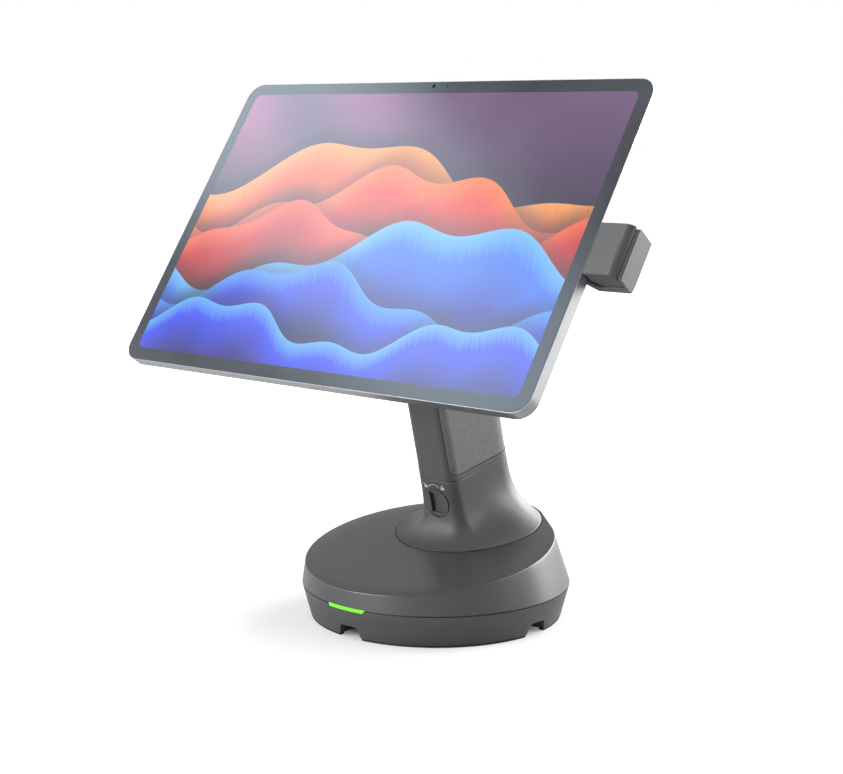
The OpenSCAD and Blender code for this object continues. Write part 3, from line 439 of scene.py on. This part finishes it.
# Streaks on the hills: lean, width and length in millimetres, dark and light factor, and how much
# they bend and shift a hill's shading; then the shade over a crest and the softness of its line
STREAK_LEAN = 0.35
STREAK_W = 1.1
STREAK_L = 26.0
STREAK_LIGHT = (0.82, 1.14)
STREAK_BEND = 0.35
STREAK_SHIFT = 0.12
SHADE_DEEP = 16.0
SHADE_PAST = 1.0
SHADE_SHARE = 0.45
CREST_SOFT = 0.25

# Hill lines of the screen picture from back to front:
# level and waves in millimetres, shading depth, then colours at the crest, below it and deep down
HILLS = [
    (34.0, ((20.0, 260.0, 2.3), (5.0, 90.0, 0.4)), 60.0, (255, 176, 92), (236, 104, 30), (176, 40, 18)),
    (15.0, ((20.0, 300.0, 1.2), (6.0, 74.0, 2.2)), 52.0, (255, 140, 60), (240, 66, 26), (150, 22, 18)),
    (-6.0, ((17.0, 210.0, 3.3), (4.0, 66.0, 1.0)), 46.0, (255, 112, 62), (214, 40, 30), (110, 14, 30)),
    (-18.0, ((22.0, 330.0, 0.5), (6.0, 82.0, 0.2)), 50.0, (120, 205, 255), (52, 120, 246), (34, 34, 170)),
    (-40.0, ((15.0, 230.0, 2.4), (5.0, 70.0, 2.6)), 42.0, (84, 168, 255), (44, 70, 236), (26, 20, 120)),
    (-61.0, ((11.0, 180.0, 4.4), (4.0, 58.0, 0.9)), 34.0, (110, 196, 255), (52, 76, 250), (36, 26, 140)),
]


def backdrop(look, across, up):
    """Plum sky of the screen picture with soft slanted bands of pink."""
    height = look.spread(up, 0.0, 1.0, -TABLET_H / 2, TABLET_H / 2)
    sky = look.ramp(height, (0.2, linear(24, 18, 30)), (0.55, linear(52, 34, 66)),
                    (0.95, linear(110, 72, 116)))
    slant = look.sums("MULTIPLY_ADD", up, BAND_LEAN, across)
    bands = look.sums("SINE", look.sums("MULTIPLY", slant, BAND_TURN))
    fade = look.sums("MULTIPLY", look.step(up, *BAND_UP), look.step(across, *BAND_ACROSS))
    amount = look.sums("MULTIPLY", look.spread(bands, 0.0, BAND_SHARE, -1.0, 1.0), fade)
    return look.mix(amount, sky, linear(196, 98, 150))


def picture(look, across, up):
    """Colour of the screen: rolling hills in warm and cold layers under a plum sky."""
    lean = look.sums("MULTIPLY_ADD", up, STREAK_LEAN, across)
    place = look.add("ShaderNodeCombineXYZ")
    look.put(place.inputs[0], look.sums("DIVIDE", lean, STREAK_W))
    look.put(place.inputs[1], look.sums("DIVIDE", up, STREAK_L))
    streaks = look.noise(1.0, 3.0, place.outputs[0])
    fine = look.spread(streaks, *STREAK_LIGHT)
    colour = backdrop(look, across, up)
    for level, waves, deep, light, middle, dark in HILLS:
        line = crest(look, across, level, *waves)
        under = look.sums("SUBTRACT", line, up)
        shade = look.step(under, -SHADE_DEEP, SHADE_PAST)
        colour = look.mix(look.sums("MULTIPLY", shade, SHADE_SHARE), colour, linear(14, 8, 26))
        share = look.sums("MULTIPLY_ADD", streaks, STREAK_BEND, look.sums("DIVIDE", under, deep))
        hill = look.ramp(look.sums("SUBTRACT", share, STREAK_SHIFT),
                         (0.0, linear(*light)), (0.35, linear(*middle)), (1.0, linear(*dark)))
        lit = look.add("ShaderNodeVectorMath", operation="SCALE")
        look.put(lit.inputs[0], hill)
        look.put(lit.inputs["Scale"], fine)
        colour = look.mix(look.step(under, -CREST_SOFT, CREST_SOFT), colour, lit.outputs[0])
    return colour


def screen_mask(look, across, up):
    """1 on the lit area, 0 on the border, with rounded corners between."""
    parts = []
    for value, half in ((across, TABLET_W / 2 - BEZEL), (up, TABLET_H / 2 - BEZEL)):
        past = look.sums("SUBTRACT", look.sums("ABSOLUTE", value), half - SCREEN_ROUND)
        parts.append(look.sums("MAXIMUM", past, 0.0))
    squares = [look.sums("MULTIPLY", part, part) for part in parts]
    away = look.sums("SQRT", look.sums("ADD", *squares))
    return look.step(away, SCREEN_ROUND + SCREEN_SOFT, SCREEN_ROUND - SCREEN_SOFT)


def cover_glass():
    """Cover glass with a printed border, a hazy gloss and the picture lit behind it."""
    look = Look("tablet_glass")
    across, up = tablet_coordinates(look)
    mask = screen_mask(look, across, up)
    haze = look.noise(40.0, 2.0)
    share = look.spread(haze, 0.0, 1.0)
    border = look.mix(share, linear(56, 58, 62), linear(62, 64, 68))
    behind = look.mix(share, linear(52, 52, 54), linear(58, 58, 60))
    look.set(Base_Color=look.mix(mask, border, behind))
    look.set(Roughness=look.spread(haze, 0.18, 0.22))
    look.set(Specular_IOR_Level=0.5)
    look.set(Specular_Tint=(0.75, 0.88, 1.0, 1.0))
    look.set(Emission_Color=look.mix(mask, (0.0, 0.0, 0.0, 1.0), picture(look, across, up)))
    look.set(Emission_Strength=0.9)
    return look.material


def display_panel():
    """The same picture on the display behind the glass."""
    look = Look("display")
    across, up = tablet_coordinates(look)
    look.set(Base_Color=picture(look, across, up))
    look.set(Roughness=look.spread(look.noise(20.0), 0.25, 0.35))
    return look.material


LOOKS = {
    "rubber": pebbled("rubber", linear(48, 48, 50), 0.8, 1.2, 0.03),
    "base_plastic": moulded("base_plastic", linear(76, 76, 77), 0.42),
    "cover_plastic": moulded("cover_plastic", linear(70, 70, 71), 0.4),
    "handle_plastic": moulded("handle_plastic", linear(78, 78, 79), 0.4),
    "knob_plastic": moulded("knob_plastic", linear(74, 74, 75), 0.4),
    "housing_plastic": moulded("housing_plastic", linear(90, 90, 91), 0.42),
    "boot_plastic": moulded("boot_plastic", linear(78, 78, 79), 0.4),
    "grip_rubber": pebbled("grip_rubber", linear(107, 107, 108), 0.75, 0.95, 0.16),
    "light_bar": light_bar(),
    "black_plastic": moulded("black_plastic", linear(38, 38, 40), 0.5),
    "circuit_board": circuit_board(),
    "nylon": moulded("nylon", linear(222, 219, 208), 0.45),
    "ballast_steel": metal("ballast_steel", linear(178, 180, 182), 0.38),
    "bracket_steel": moulded("bracket_steel", linear(58, 59, 61), 0.5, 0.3, 0.03),
    "head_metal": moulded("head_metal", linear(82, 83, 85), 0.45, 0.4, 0.02),
    "cast_alloy": metal("cast_alloy", linear(196, 198, 200), 0.5, (0, 0, 1), 3.0, 2.0),
    "fastener": metal("fastener", linear(186, 188, 190), 0.35, (0, 0, 1), 2.0, 0.3),
    "bronze": metal("bronze", linear(190, 158, 98), 0.42, (0, 1, 0), 4.0, 0.4),
    "tablet_metal": blasted("tablet_metal", linear(158, 159, 161), 0.32),
    "tablet_glass": cover_glass(),
    "display": display_panel(),
    "lens": dark_lens(),
}


# Geometry

def finished(name, mesh, body, slot, angle=32.0, look=None):
    """Object of a mesh that rides a body and takes a slot's material, or a look of its own in that slot."""
    obj = bpy.data.objects.new(name, mesh)
    bpy.context.scene.collection.objects.link(obj)
    mesh.materials.clear()
    mesh.materials.append(look or LOOKS[slot])
    mesh.shade_smooth()
    mesh.set_sharp_from_angle(angle=math.radians(angle))
    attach(obj, body)
    return obj


def mesh_of(name, verts, faces):
    mesh = bpy.data.meshes.new(name)
    mesh.from_pydata([tuple(v) for v in verts], [], faces)
    mesh.update()
    return mesh


def side_faces(low, high, count):
    """Faces between two rings of points that begin at the indices low and high."""
    follow = [(i + 1) % count for i in range(count)]
    return [(low + i, low + j, high + j, high + i) for i, j in enumerate(follow)]


def skin(rings):
    """Points and faces of a closed body drawn over rings of equal length."""
    count = len(rings[0])
    verts = [point for ring in rings for point in ring]
    faces = [tuple(reversed(range(count)))]
    for level in range(len(rings) - 1):
        faces += side_faces(level * count, (level + 1) * count, count)
    last = (len(rings) - 1) * count
    faces.append(tuple(range(last, last + count)))
    return verts, faces


def circle(at, radius, z, steps):
    """Points of a circle round the z axis of a frame."""
    turns = [2 * math.pi * i / steps for i in range(steps)]
    return [at @ Vector((radius * math.cos(a), radius * math.sin(a), z)) for a in turns]


def scratch(name, verts, faces):
    """Object that only cuts others."""
    obj = bpy.data.objects.new(name, mesh_of(name, verts, faces))
    bpy.context.scene.collection.objects.link(obj)
    return obj


def drum(name, at, radius, low, high, steps=96):
    """Cutting cylinder along the z axis of a frame."""
    return scratch(name, *skin([circle(at, radius, z, steps) for z in (low, high)]))


def block(name, at, low, high):
    """Cutting box between two corners of a frame."""
    rings = []
    for z in (low[2], high[2]):
        corners = ((low[0], low[1]), (high[0], low[1]), (high[0], high[1]), (low[0], high[1]))
        rings.append([at @ Vector((x, y, z)) for x, y in corners])
    return scratch(name, *skin(rings))


def carved(mesh, cutters):
    """Mesh with the cutters taken out of it."""
    body = bpy.data.objects.new("carved", mesh)
    bpy.context.scene.collection.objects.link(body)
    for cutter in cutters:
        cut = body.modifiers.new("cut", "BOOLEAN")
        cut.operation = "DIFFERENCE"
        cut.solver = "EXACT"
        cut.object = cutter
    graph = bpy.context.evaluated_depsgraph_get()
    made = bpy.data.meshes.new_from_object(body.evaluated_get(graph))
    for obj in [body, *cutters]:
        bpy.data.objects.remove(obj)
    return made


# Neck foot

def section(inset=0.0, arc=20, side=24):
    """Points of the handle's outline in the neck's frame, counter-clockwise from the right rear."""
    half_d = HANDLE_D / 2
    back_x = BACK_HALF - BACK_ROUND
    front_x = FRONT_HALF - FRONT_ROUND
    corners = [(back_x, half_d - BACK_ROUND, BACK_ROUND),
               (-back_x, half_d - BACK_ROUND, BACK_ROUND),
               (-front_x, FRONT_ROUND - half_d, FRONT_ROUND),
               (front_x, FRONT_ROUND - half_d, FRONT_ROUND)]
    lean = side_angle()
    spans = [(-lean, 90.0), (90.0, 180.0 + lean), (180.0 + lean, 270.0), (270.0, 360.0 - lean)]
    arcs = []
    for (x, y, radius), (start, end) in zip(corners, spans):
        turns = [math.radians(start + (end - start) * i / arc) for i in range(arc + 1)]
        size = radius - inset
        arcs.append([Vector((x + size * math.cos(a), y + size * math.sin(a), 0.0)) for a in turns])
    points = []
    for i, run in enumerate(arcs):
        follow = arcs[(i + 1) % 4][0]
        points += run
        points += [run[-1].lerp(follow, k / side) for k in range(1, side)]
    return points


def side_angle():
    """Degrees by which the handle's side faces turn towards the front."""
    run_x = (BACK_HALF - BACK_ROUND) - (FRONT_HALF - FRONT_ROUND)
    run_y = HANDLE_D - BACK_ROUND - FRONT_ROUND
    span = math.hypot(run_x, run_y)
    return math.degrees(math.asin((BACK_ROUND - FRONT_ROUND) / span) + math.atan2(run_x, run_y))


def neck_foot_rings():
    """Rings of the neck foot in the swivel's frame, from its lip up to the parting line."""
    to_swivel = AT_SWIVEL.inverted() @ AT_NECK
    along = to_swivel.to_3x3() @ Vector((0.0, 0.0, 1.0))
    outline = section()
    inner = section(SEAM_IN)
    facing = [(p - q).xy.normalized() for p, q in zip(outline, inner)]
    every = range(len(outline))

    def low(i, z):
        """Point of the outline carried down the neck to a height."""
        foot = to_swivel @ outline[i]
        return foot + along * ((z - foot.z) / along.z)

    def rim(i, z, size=FOOT_R):
        """Point of the round edge that belongs to a point of the outline."""
        way = low(i, z).xy.normalized() * (1 - RIM_FACING) + facing[i] * RIM_FACING
        way = way.normalized() * size
        return Vector((way.x, way.y, z))

    def flare(i, t):
        """Point of the flare from the edge at 0 to the parting line at 1."""
        foot = low(i, LIP_TOP)
        top = to_swivel @ (outline[i] + Vector((0.0, 0.0, PART_UP)))
        edge = rim(i, LIP_TOP)
        front = (RISE_BACK - edge.y / FOOT_R) / (RISE_BACK - RISE_FRONT)
        front = min(1.0, max(0.0, front))
        rise = 1 + (FRONT_RISE - 1) * front * front * (3 - 2 * front)
        return foot + (top - foot) * t ** rise + (edge - foot) * (1 - t) ** FLARE_POWER

    rings = [[rim(i, FOOT_GAP, FOOT_R - LIP_CUT) for i in every]]
    rings.append([rim(i, FOOT_GAP + LIP_CUT) for i in every])
    for k in range(LIP_ROWS + 1):
        t = k / LIP_ROWS
        rings.append([rim(i, LIP_TOP - LIP_ROUND) * (1 - t) ** 2 + rim(i, LIP_TOP) * 2 * t * (1 - t)
                      + flare(i, FLARE_LOW) * t ** 2 for i in every])
    for k in range(1, FLARE_STEPS + 1):
        t = FLARE_LOW + (FLARE_HIGH - FLARE_LOW) * (k / FLARE_STEPS) ** FLARE_CROWD
        rings.append([flare(i, t) for i in every])
    rings.append([to_swivel @ (p + Vector((0.0, 0.0, PART_UP))) for p in inner])
    return rings


def neck_foot():
    """Flared neck foot with the knob's bore, the handle's socket and the rooms for contacts and spindle."""
    rings = [[AT_SWIVEL @ point for point in ring] for ring in neck_foot_rings()]
    mesh = mesh_of("neck_foot_skin", *skin(rings))
    lock = AT_NECK @ Matrix.Translation((0.0, 0.0, LOCK_UP)) @ Matrix.Rotation(math.radians(90), 4, "X")
    past = PART_UP + CUT_PAST
    cutters = [
        drum("knob_bore", lock, KNOB_R + KNOB_ROOM, HANDLE_D / 2 + KNOB_AHEAD - KNOB_DEEP, HANDLE_D),
        block("socket", AT_NECK, (-SOCKET_X, -SOCKET_Y, PART_UP - SOCKET_DEEP), (SOCKET_X, SOCKET_Y, past)),
        block("contact_room", AT_NECK, (-CONTACT_X, CONTACT_FRONT, PART_UP - CONTACT_DEEP),
              (CONTACT_X, CONTACT_BACK, past)),
        drum("spindle_room", AT_SWIVEL, SPINDLE_ROOM_R, -CUT_PAST, SPINDLE_ROOM_UP),
    ]
    look = moulded("neck_foot_plastic", linear(66, 66, 67), 0.5, specular=0.5)
    obj = finished("neck_foot_skin", carved(mesh, cutters), "neck", "cover_plastic", look=look)
    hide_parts("neck_foot")


# Upper cover of the base

def top_outline(steps=288):
    """Points and outward directions of the slanted top's edge, two circles joined by straight sides."""
    rim = (Vector((0.0, -RIM_FORWARD, 0.0)), BASE_R - RIM_IN)
    lobe = (Vector((0.0, FOOT_BACK, 0.0)), LOBE_R)
    found = []
    for i in range(steps):
        turn = 2 * math.pi * (i + 0.5) / steps
        out = Vector((math.cos(turn), math.sin(turn), 0.0))
        centre, radius = max((rim, lobe), key=lambda c: c[0].dot(out) + c[1])
        found.append((centre + out * radius, out))
    return found


def cover_rings(inset):
    """Rings of the cover from its seam to the edge of its top, moved in by inset."""
    outline = top_outline()
    seam = [Vector((out.x * (BASE_R - inset), out.y * (BASE_R - inset), SEAM_H + SEAM_GAP / 2)) * MM
            for _, out in outline]
    edge = [AT_SLANT @ (point - out * inset + Vector((0.0, 0.0, -inset))) for point, out in outline]
    inner = [AT_SLANT @ (point - out * (inset + RIM_ROUND) + Vector((0.0, 0.0, -inset)))
             for point, out in outline]
    rings = [seam]
    for k in range(1, WALL_ROWS):
        rings.append([a.lerp(b, WALL_SHARE * k / WALL_ROWS) for a, b in zip(seam, edge)])
    start = [a.lerp(b, 1 - RIM_ROUND * MM / (b - a).length) for a, b in zip(seam, edge)]
    for k in range(RIM_ROWS + 1):
        t = k / RIM_ROWS
        rings.append([a * (1 - t) ** 2 + b * 2 * t * (1 - t) + c * t * t
                      for a, b, c in zip(start, edge, inner)])
    middle = AT_SLANT @ Vector((0.0, 0.0, -inset))
    for share in TOP_SHARES:
        rings.append([a.lerp(middle, share) for a in inner])
    return rings


def upper_cover():
    """Hollow cover with a slanted top and a hole for the swivel's bush."""
    rings = [*reversed(cover_rings(COVER_T)), *cover_rings(0.0)]
    mesh = mesh_of("upper_cover_skin", *skin(rings))
    hole = drum("bush_hole", AT_SWIVEL, BUSH_R, -CUT_PAST, CUT_PAST)
    look = moulded("cover_top_plastic", linear(46, 46, 47), 0.33, specular=1.0, refraction=1.6)
    obj = finished("upper_cover_skin", carved(mesh, [hole]), "base", "cover_plastic", look=look)
    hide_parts("upper_cover")


def foot_seam_shadow():
    """Painted shade: a thin dark ring laid on the cover round the edge of the neck foot, standing for the
    shadow in the seam there.
    """
    inner = FOOT_R + SEAM_SHADOW_GAP
    outer = inner + SEAM_SHADOW_W
    corners = ((inner, 0.0), (outer, 0.0), (outer, SEAM_SHADOW_T), (inner, SEAM_SHADOW_T))
    verts = [point for radius, z in corners for point in circle(AT_SWIVEL, radius, z, SEAM_SHADOW_STEPS)]
    faces = []
    for k in range(len(corners)):
        faces += side_faces(k * SEAM_SHADOW_STEPS, (k + 1) % len(corners) * SEAM_SHADOW_STEPS, SEAM_SHADOW_STEPS)
    # The dark ring is painted shade for the seam round the foot
    finished("foot_seam_shadow", mesh_of("foot_seam_shadow", verts, faces), "base", "rubber")


# Carried-over nodes

# Points this near in millimetres are one, edges sharper than this angle in degrees are rounded
# in this many rows, and faces weigh this much by their size where shading is evened
WELD = 0.002
SHARP = 40.0
BEVEL_ROWS = 3
EVEN_WEIGHT = 100

# Edge rounding of the nodes that show, in millimetres
ROUNDED = {
    "lower_housing": 0.25,
    "handle_shell": 0.2,
    "handle_grip": 0.3,
    "lock_knob": 0.3,
    "connector_boot": 0.6,
    "connector_cover": 0.35,
    "tilt_yoke": 0.5,
    "tilt_hub": 0.5,
    "bracket_plate": 0.4,
    "side_arm": 0.3,
    "tablet_shell": 0.12,
    "rear_camera": 0.3,
}

# Nodes whose broad faces keep even shading next to their rounded edges
EVENED = ("tablet_shell", "rear_camera")


def dress_nodes():
    """Gives every node of the frame the material of its slot."""
    for entry in frame["record"]["subparts"]:
        obj = frame["nodes"][entry["node"]]
        obj.data.materials.clear()
        obj.data.materials.append(LOOKS[entry["material_slot"]])


def round_edges():
    """Rounds the sharp edges of the nodes that show."""
    for node, width in ROUNDED.items():
        obj = frame["nodes"][node]
        weld = obj.modifiers.new("weld", "WELD")
        weld.merge_threshold = WELD * MM
        bevel = obj.modifiers.new("round", "BEVEL")
        bevel.width = width * MM
        bevel.segments = BEVEL_ROWS
        bevel.limit_method = "ANGLE"
        bevel.angle_limit = math.radians(SHARP)
        bevel.use_clamp_overlap = True
        bevel.harden_normals = True
        if node in EVENED:
            even = obj.modifiers.new("even", "WEIGHTED_NORMAL")
            even.keep_sharp = True
            even.weight = EVEN_WEIGHT


# Prints on the neck foot and dots on the tablet's border

def plate(at, outlines, depth):
    """Mesh of flat outlines in the x-z plane of a frame, each depth millimetres thick towards the front."""
    verts = []
    faces = []
    for outline in outlines:
        start = len(verts)
        count = len(outline)
        for y in (0.0, -depth):
            verts += [at @ Vector((x, y, z)) for x, z in outline]
        faces.append(tuple(start + i for i in reversed(range(count))))
        faces.append(tuple(start + count + i for i in range(count)))
        faces += side_faces(start, start + count, count)
    return verts, faces


def arc_band(x, z, outer, inner, start, end, steps=20):
    """Outline of a band along an arc."""
    turns = [math.radians(start + (end - start) * i / steps) for i in range(steps + 1)]
    out = [(x + outer * math.cos(a), z + outer * math.sin(a)) for a in turns]
    back = [(x + inner * math.cos(a), z + inner * math.sin(a)) for a in reversed(turns)]
    return out + back


def disc(x, z, radius, steps=40):
    turns = [2 * math.pi * i / steps for i in range(steps)]
    return [(x + radius * math.cos(a), z + radius * math.sin(a)) for a in turns]


def padlock(x, low, opened):
    """Outlines of a padlock: a body and a shackle, swung aside when open."""
    left = x - SIGN_HALF
    right = x + SIGN_HALF
    high = low + SIGN_TALL
    body = [(left, low), (right, low), (right, high), (left, high)]
    middle = x - BOW_SWING if opened else x
    bow = arc_band(middle, high + BOW_LIFT, BOW_OUT, BOW_IN, 0.0, 180.0)
    turn = len(bow) // 2
    left_leg = [] if opened else [(middle - BOW_OUT, high), (middle - BOW_IN, high)]
    right_leg = [(middle + BOW_IN, high), (middle + BOW_OUT, high)]
    return [body, [*bow[:turn], *left_leg, *bow[turn:], *right_leg]]


def turn_arrow(x, z, radius, spread):
    """Outlines of an arc with a head at both ends."""
    shapes = [arc_band(x, z, radius + ARROW_LINE, radius - ARROW_LINE, 90 - spread, 90 + spread)]
    for side in (-1, 1):
        turn = math.radians(90 + side * spread)
        out = Vector((math.cos(turn), math.sin(turn)))
        along = Vector((-out.y, out.x)) * side
        end = Vector((x, z)) + out * radius
        corners = [end + out * ARROW_HALF, end + along * ARROW_TIP, end - out * ARROW_HALF]
        shapes.append(corners if side > 0 else corners[::-1])
    return shapes


def lock_prints():
    """Pale prints above the knob that show which way it unlocks and locks."""
    front = AT_NECK @ Matrix.Translation((PRINT_X, -HANDLE_D / 2 - PRINT_LIFT, PRINT_UP))
    shapes = [*padlock(-SIGN_X, 0.0, True), *turn_arrow(ARROW_X, ARROW_LOW, ARROW_R, ARROW_SPREAD),
              *padlock(SIGN_X, 0.0, False)]
    mesh = mesh_of("lock_prints", *plate(front, shapes, PRINT_T))
    finished("lock_prints", mesh, "neck", "cover_plastic", look=print_paint())


def print_paint():
    """Pale grey ink with slight unevenness."""
    look = Look("print_paint")
    cloud = look.noise(1.5, 2.0)
    share = look.spread(cloud, 0.0, 1.0)
    look.set(Base_Color=look.mix(share, linear(170, 171, 172), linear(188, 189, 190)))
    look.set(Roughness=look.spread(cloud, 0.5, 0.6))
    return look.material


def border_dots():
    """Camera and sensor windows in the tablet's border."""
    front = AT_TABLET @ Matrix.Translation((0.0, GLASS_FRONT + DOT_SINK, 0.0))
    ring = [disc(0.0, DOT_UP, CAMERA_DOT_R)]
    finished("camera_window", mesh_of("camera_window", *plate(front, ring, DOT_T)), "tablet", "lens")
    near = AT_TABLET @ Matrix.Translation((0.0, GLASS_FRONT - PUPIL_LIFT, 0.0))
    pupil = [disc(0.0, DOT_UP, PUPIL_R)]
    finished("camera_pupil", mesh_of("camera_pupil", *plate(near, pupil, PUPIL_T)), "tablet", "lens")
    sensors = [disc(SENSOR_X, DOT_UP, SENSOR_R), disc(*SIDE_SENSOR, SIDE_SENSOR_R)]
    finished("sensor_windows", mesh_of("sensor_windows", *plate(front, sensors, DOT_T)), "tablet", "lens")


# Stage

# Floor in metres from the middle of the base: half its side, where its glow for the camera starts
# under the base, where that glow rises from FLOOR_NEAR to white, and where gloss starts to see it white.
# The weaker glow near the stand paints the floor there darker, a painted shade round the stand.
FLOOR_HALF = 6.0
FLOOR_CLEAR = (0.055, 0.075)
FLOOR_NEAR = 0.4
FLOOR_GLOW = (0.12, 0.5)
FLOOR_GLOSS = (0.5, 1.2)

# World: light on rough surfaces, then what gloss sees in front and overhead, with the directions,
# as parts of a unit vector, between which front turns to backdrop and backdrop to ceiling
AMBIENT = 0.1
FRONT = 0.25
CEILING = 0.2
FRONT_TO_BACK = (-0.1, 0.5)
BACK_TO_CEILING = (0.2, 0.6)

# Softboxes: azimuth and elevation in degrees, distance and size in metres, watts,
# and where needed the aim, the roll in degrees and the tint
SOFTBOXES = {
    "right_box": (126.0, 19.0, 1.5, (1.6, 0.9), 52.0),
    "front_right_box": (80.0, 30.0, 1.6, (1.4, 1.1), 15.5),
    "front_left_box": (-56.0, 11.0, 1.6, (0.9, 0.6), 10.0),
    "left_box": (-70.0, 24.0, 1.6, (0.7, 0.8), 19.0),
    "over_strip": (-104.0, 68.0, 1.6, (0.7, 0.3), 4.4),
    "under_strip": (-108.0, 23.0, 1.6, (0.9, 0.3), 3.0),
    "glass_strip": (-107.0, 41.0, 1.6, (0.95, 0.34), 5.8, TABLET_FRONT, 7.0, (0.86, 0.94, 1.0)),
}
STAND_MIDDLE = (0.0, 0.0, 0.12)


def floor():
    """Plain pale floor that keeps the shadow near the stand and runs into the white background; its glow
    for the camera is weaker near the stand, which adds painted shade round it.
    """
    half = FLOOR_HALF
    corners = [(-half, -half, 0.0), (half, -half, 0.0), (half, half, 0.0), (-half, half, 0.0)]
    mesh = mesh_of("floor", corners, [(0, 1, 2, 3)])
    obj = bpy.data.objects.new("floor", mesh)
    bpy.context.scene.collection.objects.link(obj)
    look = Look("floor")
    look.set(Base_Color=look.mix(look.noise(400.0), (0.49, 0.49, 0.49, 1), (0.51, 0.51, 0.51, 1)))
    look.set(Roughness=0.9)
    look.set(Specular_IOR_Level=0.0)
    length = look.add("ShaderNodeVectorMath", operation="LENGTH")
    look.put(length.inputs[0], look.place)
    away = length.outputs["Value"]
    ray = look.add("ShaderNodeLightPath").outputs
    clear = look.step(away, *FLOOR_CLEAR)
    # Glow for the camera, weaker near the stand: painted shade round the stand on top of its real shadow
    glow = look.sums("MULTIPLY", clear, look.spread(away, FLOOR_NEAR, 1.0, *FLOOR_GLOW))
    near = look.sums("MULTIPLY", ray["Is Camera Ray"], glow)
    gloss = look.sums("MAXIMUM", ray["Is Glossy Ray"], ray["Is Transmission Ray"])
    far = look.sums("MULTIPLY", gloss, look.step(away, *FLOOR_GLOSS))
    look.set(Emission_Color=(1.0, 1.0, 1.0, 1.0))
    look.set(Emission_Strength=look.sums("ADD", near, far))
    mesh.materials.append(look.material)


def ranged(tree, value, low, high, to_low, to_high):
    """Output of a smooth step between two levels, each a number or a socket."""
    step = tree.nodes.new("ShaderNodeMapRange")
    step.interpolation_type = "SMOOTHSTEP"
    step.inputs["From Min"].default_value = low
    step.inputs["From Max"].default_value = high
    tree.links.new(value, step.inputs["Value"])
    for name, level in (("To Min", to_low), ("To Max", to_high)):
        if isinstance(level, float):
            step.inputs[name].default_value = level
        else:
            tree.links.new(level, step.inputs[name])
    return step.outputs["Result"]


def world():
    """Dim light; gloss and glass see a white backdrop behind the stand, dimmer in front and overhead."""
    sky = bpy.data.worlds.new("studio")
    sky.use_nodes = True
    bpy.context.scene.world = sky
    tree = sky.node_tree
    shade = tree.nodes["Background"]
    shade.inputs["Color"].default_value = (1.0, 1.0, 1.0, 1.0)
    way = tree.nodes.new("ShaderNodeTexCoord").outputs["Generated"]
    apart = tree.nodes.new("ShaderNodeSeparateXYZ")
    tree.links.new(way, apart.inputs[0])
    back = tree.nodes.new("ShaderNodeVectorMath")
    back.operation = "DOT_PRODUCT"
    back.inputs[1].default_value = (-math.sin(CAMERA_AZIMUTH), math.cos(CAMERA_AZIMUTH), 0.0)
    tree.links.new(way, back.inputs[0])
    seen = ranged(tree, back.outputs["Value"], *FRONT_TO_BACK, FRONT, 1.0)
    seen = ranged(tree, apart.outputs["Z"], *BACK_TO_CEILING, seen, CEILING)
    ray = tree.nodes.new("ShaderNodeLightPath").outputs
    either = tree.nodes.new("ShaderNodeMath")
    either.operation = "MAXIMUM"
    tree.links.new(ray["Is Glossy Ray"], either.inputs[0])
    tree.links.new(ray["Is Transmission Ray"], either.inputs[1])
    level = ranged(tree, either.outputs[0], 0.0, 1.0, AMBIENT, seen)
    level = ranged(tree, ray["Is Camera Ray"], 0.0, 1.0, level, 1.0)
    tree.links.new(level, shade.inputs["Strength"])


def softbox(name, azimuth, elevation, distance, size, watts, aim=STAND_MIDDLE, roll=0.0, tint=(1, 1, 1)):
    """Area light, its azimuth in degrees to the right of the direction towards the camera."""
    turn = CAMERA_AZIMUTH + math.radians(azimuth)
    rise = math.radians(elevation)
    way = Vector((math.sin(turn) * math.cos(rise), -math.cos(turn) * math.cos(rise), math.sin(rise)))
    lamp = bpy.data.lights.new(name, "AREA")
    lamp.shape = "RECTANGLE"
    lamp.size = size[0]
    lamp.size_y = size[1]
    lamp.energy = watts
    lamp.color = tint
    obj = bpy.data.objects.new(name, lamp)
    obj.location = Vector(aim) + way * distance
    facing = (-way).to_track_quat("-Z", "Y") @ Quaternion((0.0, 0.0, 1.0), math.radians(roll))
    obj.rotation_euler = facing.to_euler()
    bpy.context.scene.collection.objects.link(obj)


def camera():
    """Camera at the photo's place, with its view."""
    data = bpy.data.cameras.new("camera")
    data.sensor_width = CAMERA_SENSOR
    data.lens = CAMERA_LENS
    data.clip_start, data.clip_end = CAMERA_CLIP
    obj = bpy.data.objects.new("camera", data)
    flat = math.cos(CAMERA_DOWN)
    forward = Vector((-math.sin(CAMERA_AZIMUTH) * flat, math.cos(CAMERA_AZIMUTH) * flat,
                      -math.sin(CAMERA_DOWN)))
    obj.location = CAMERA_AT
    obj.rotation_euler = forward.to_track_quat("-Z", "Y").to_euler()
    bpy.context.scene.collection.objects.link(obj)
    bpy.context.scene.camera = obj


dress_nodes()
round_edges()
neck_foot()
upper_cover()
foot_seam_shadow()
lock_prints()
border_dots()
floor()
world()
for box_name, settings in SOFTBOXES.items():
    softbox(box_name, *settings)
camera()
bpy.context.scene.view_settings.view_transform = "Standard"
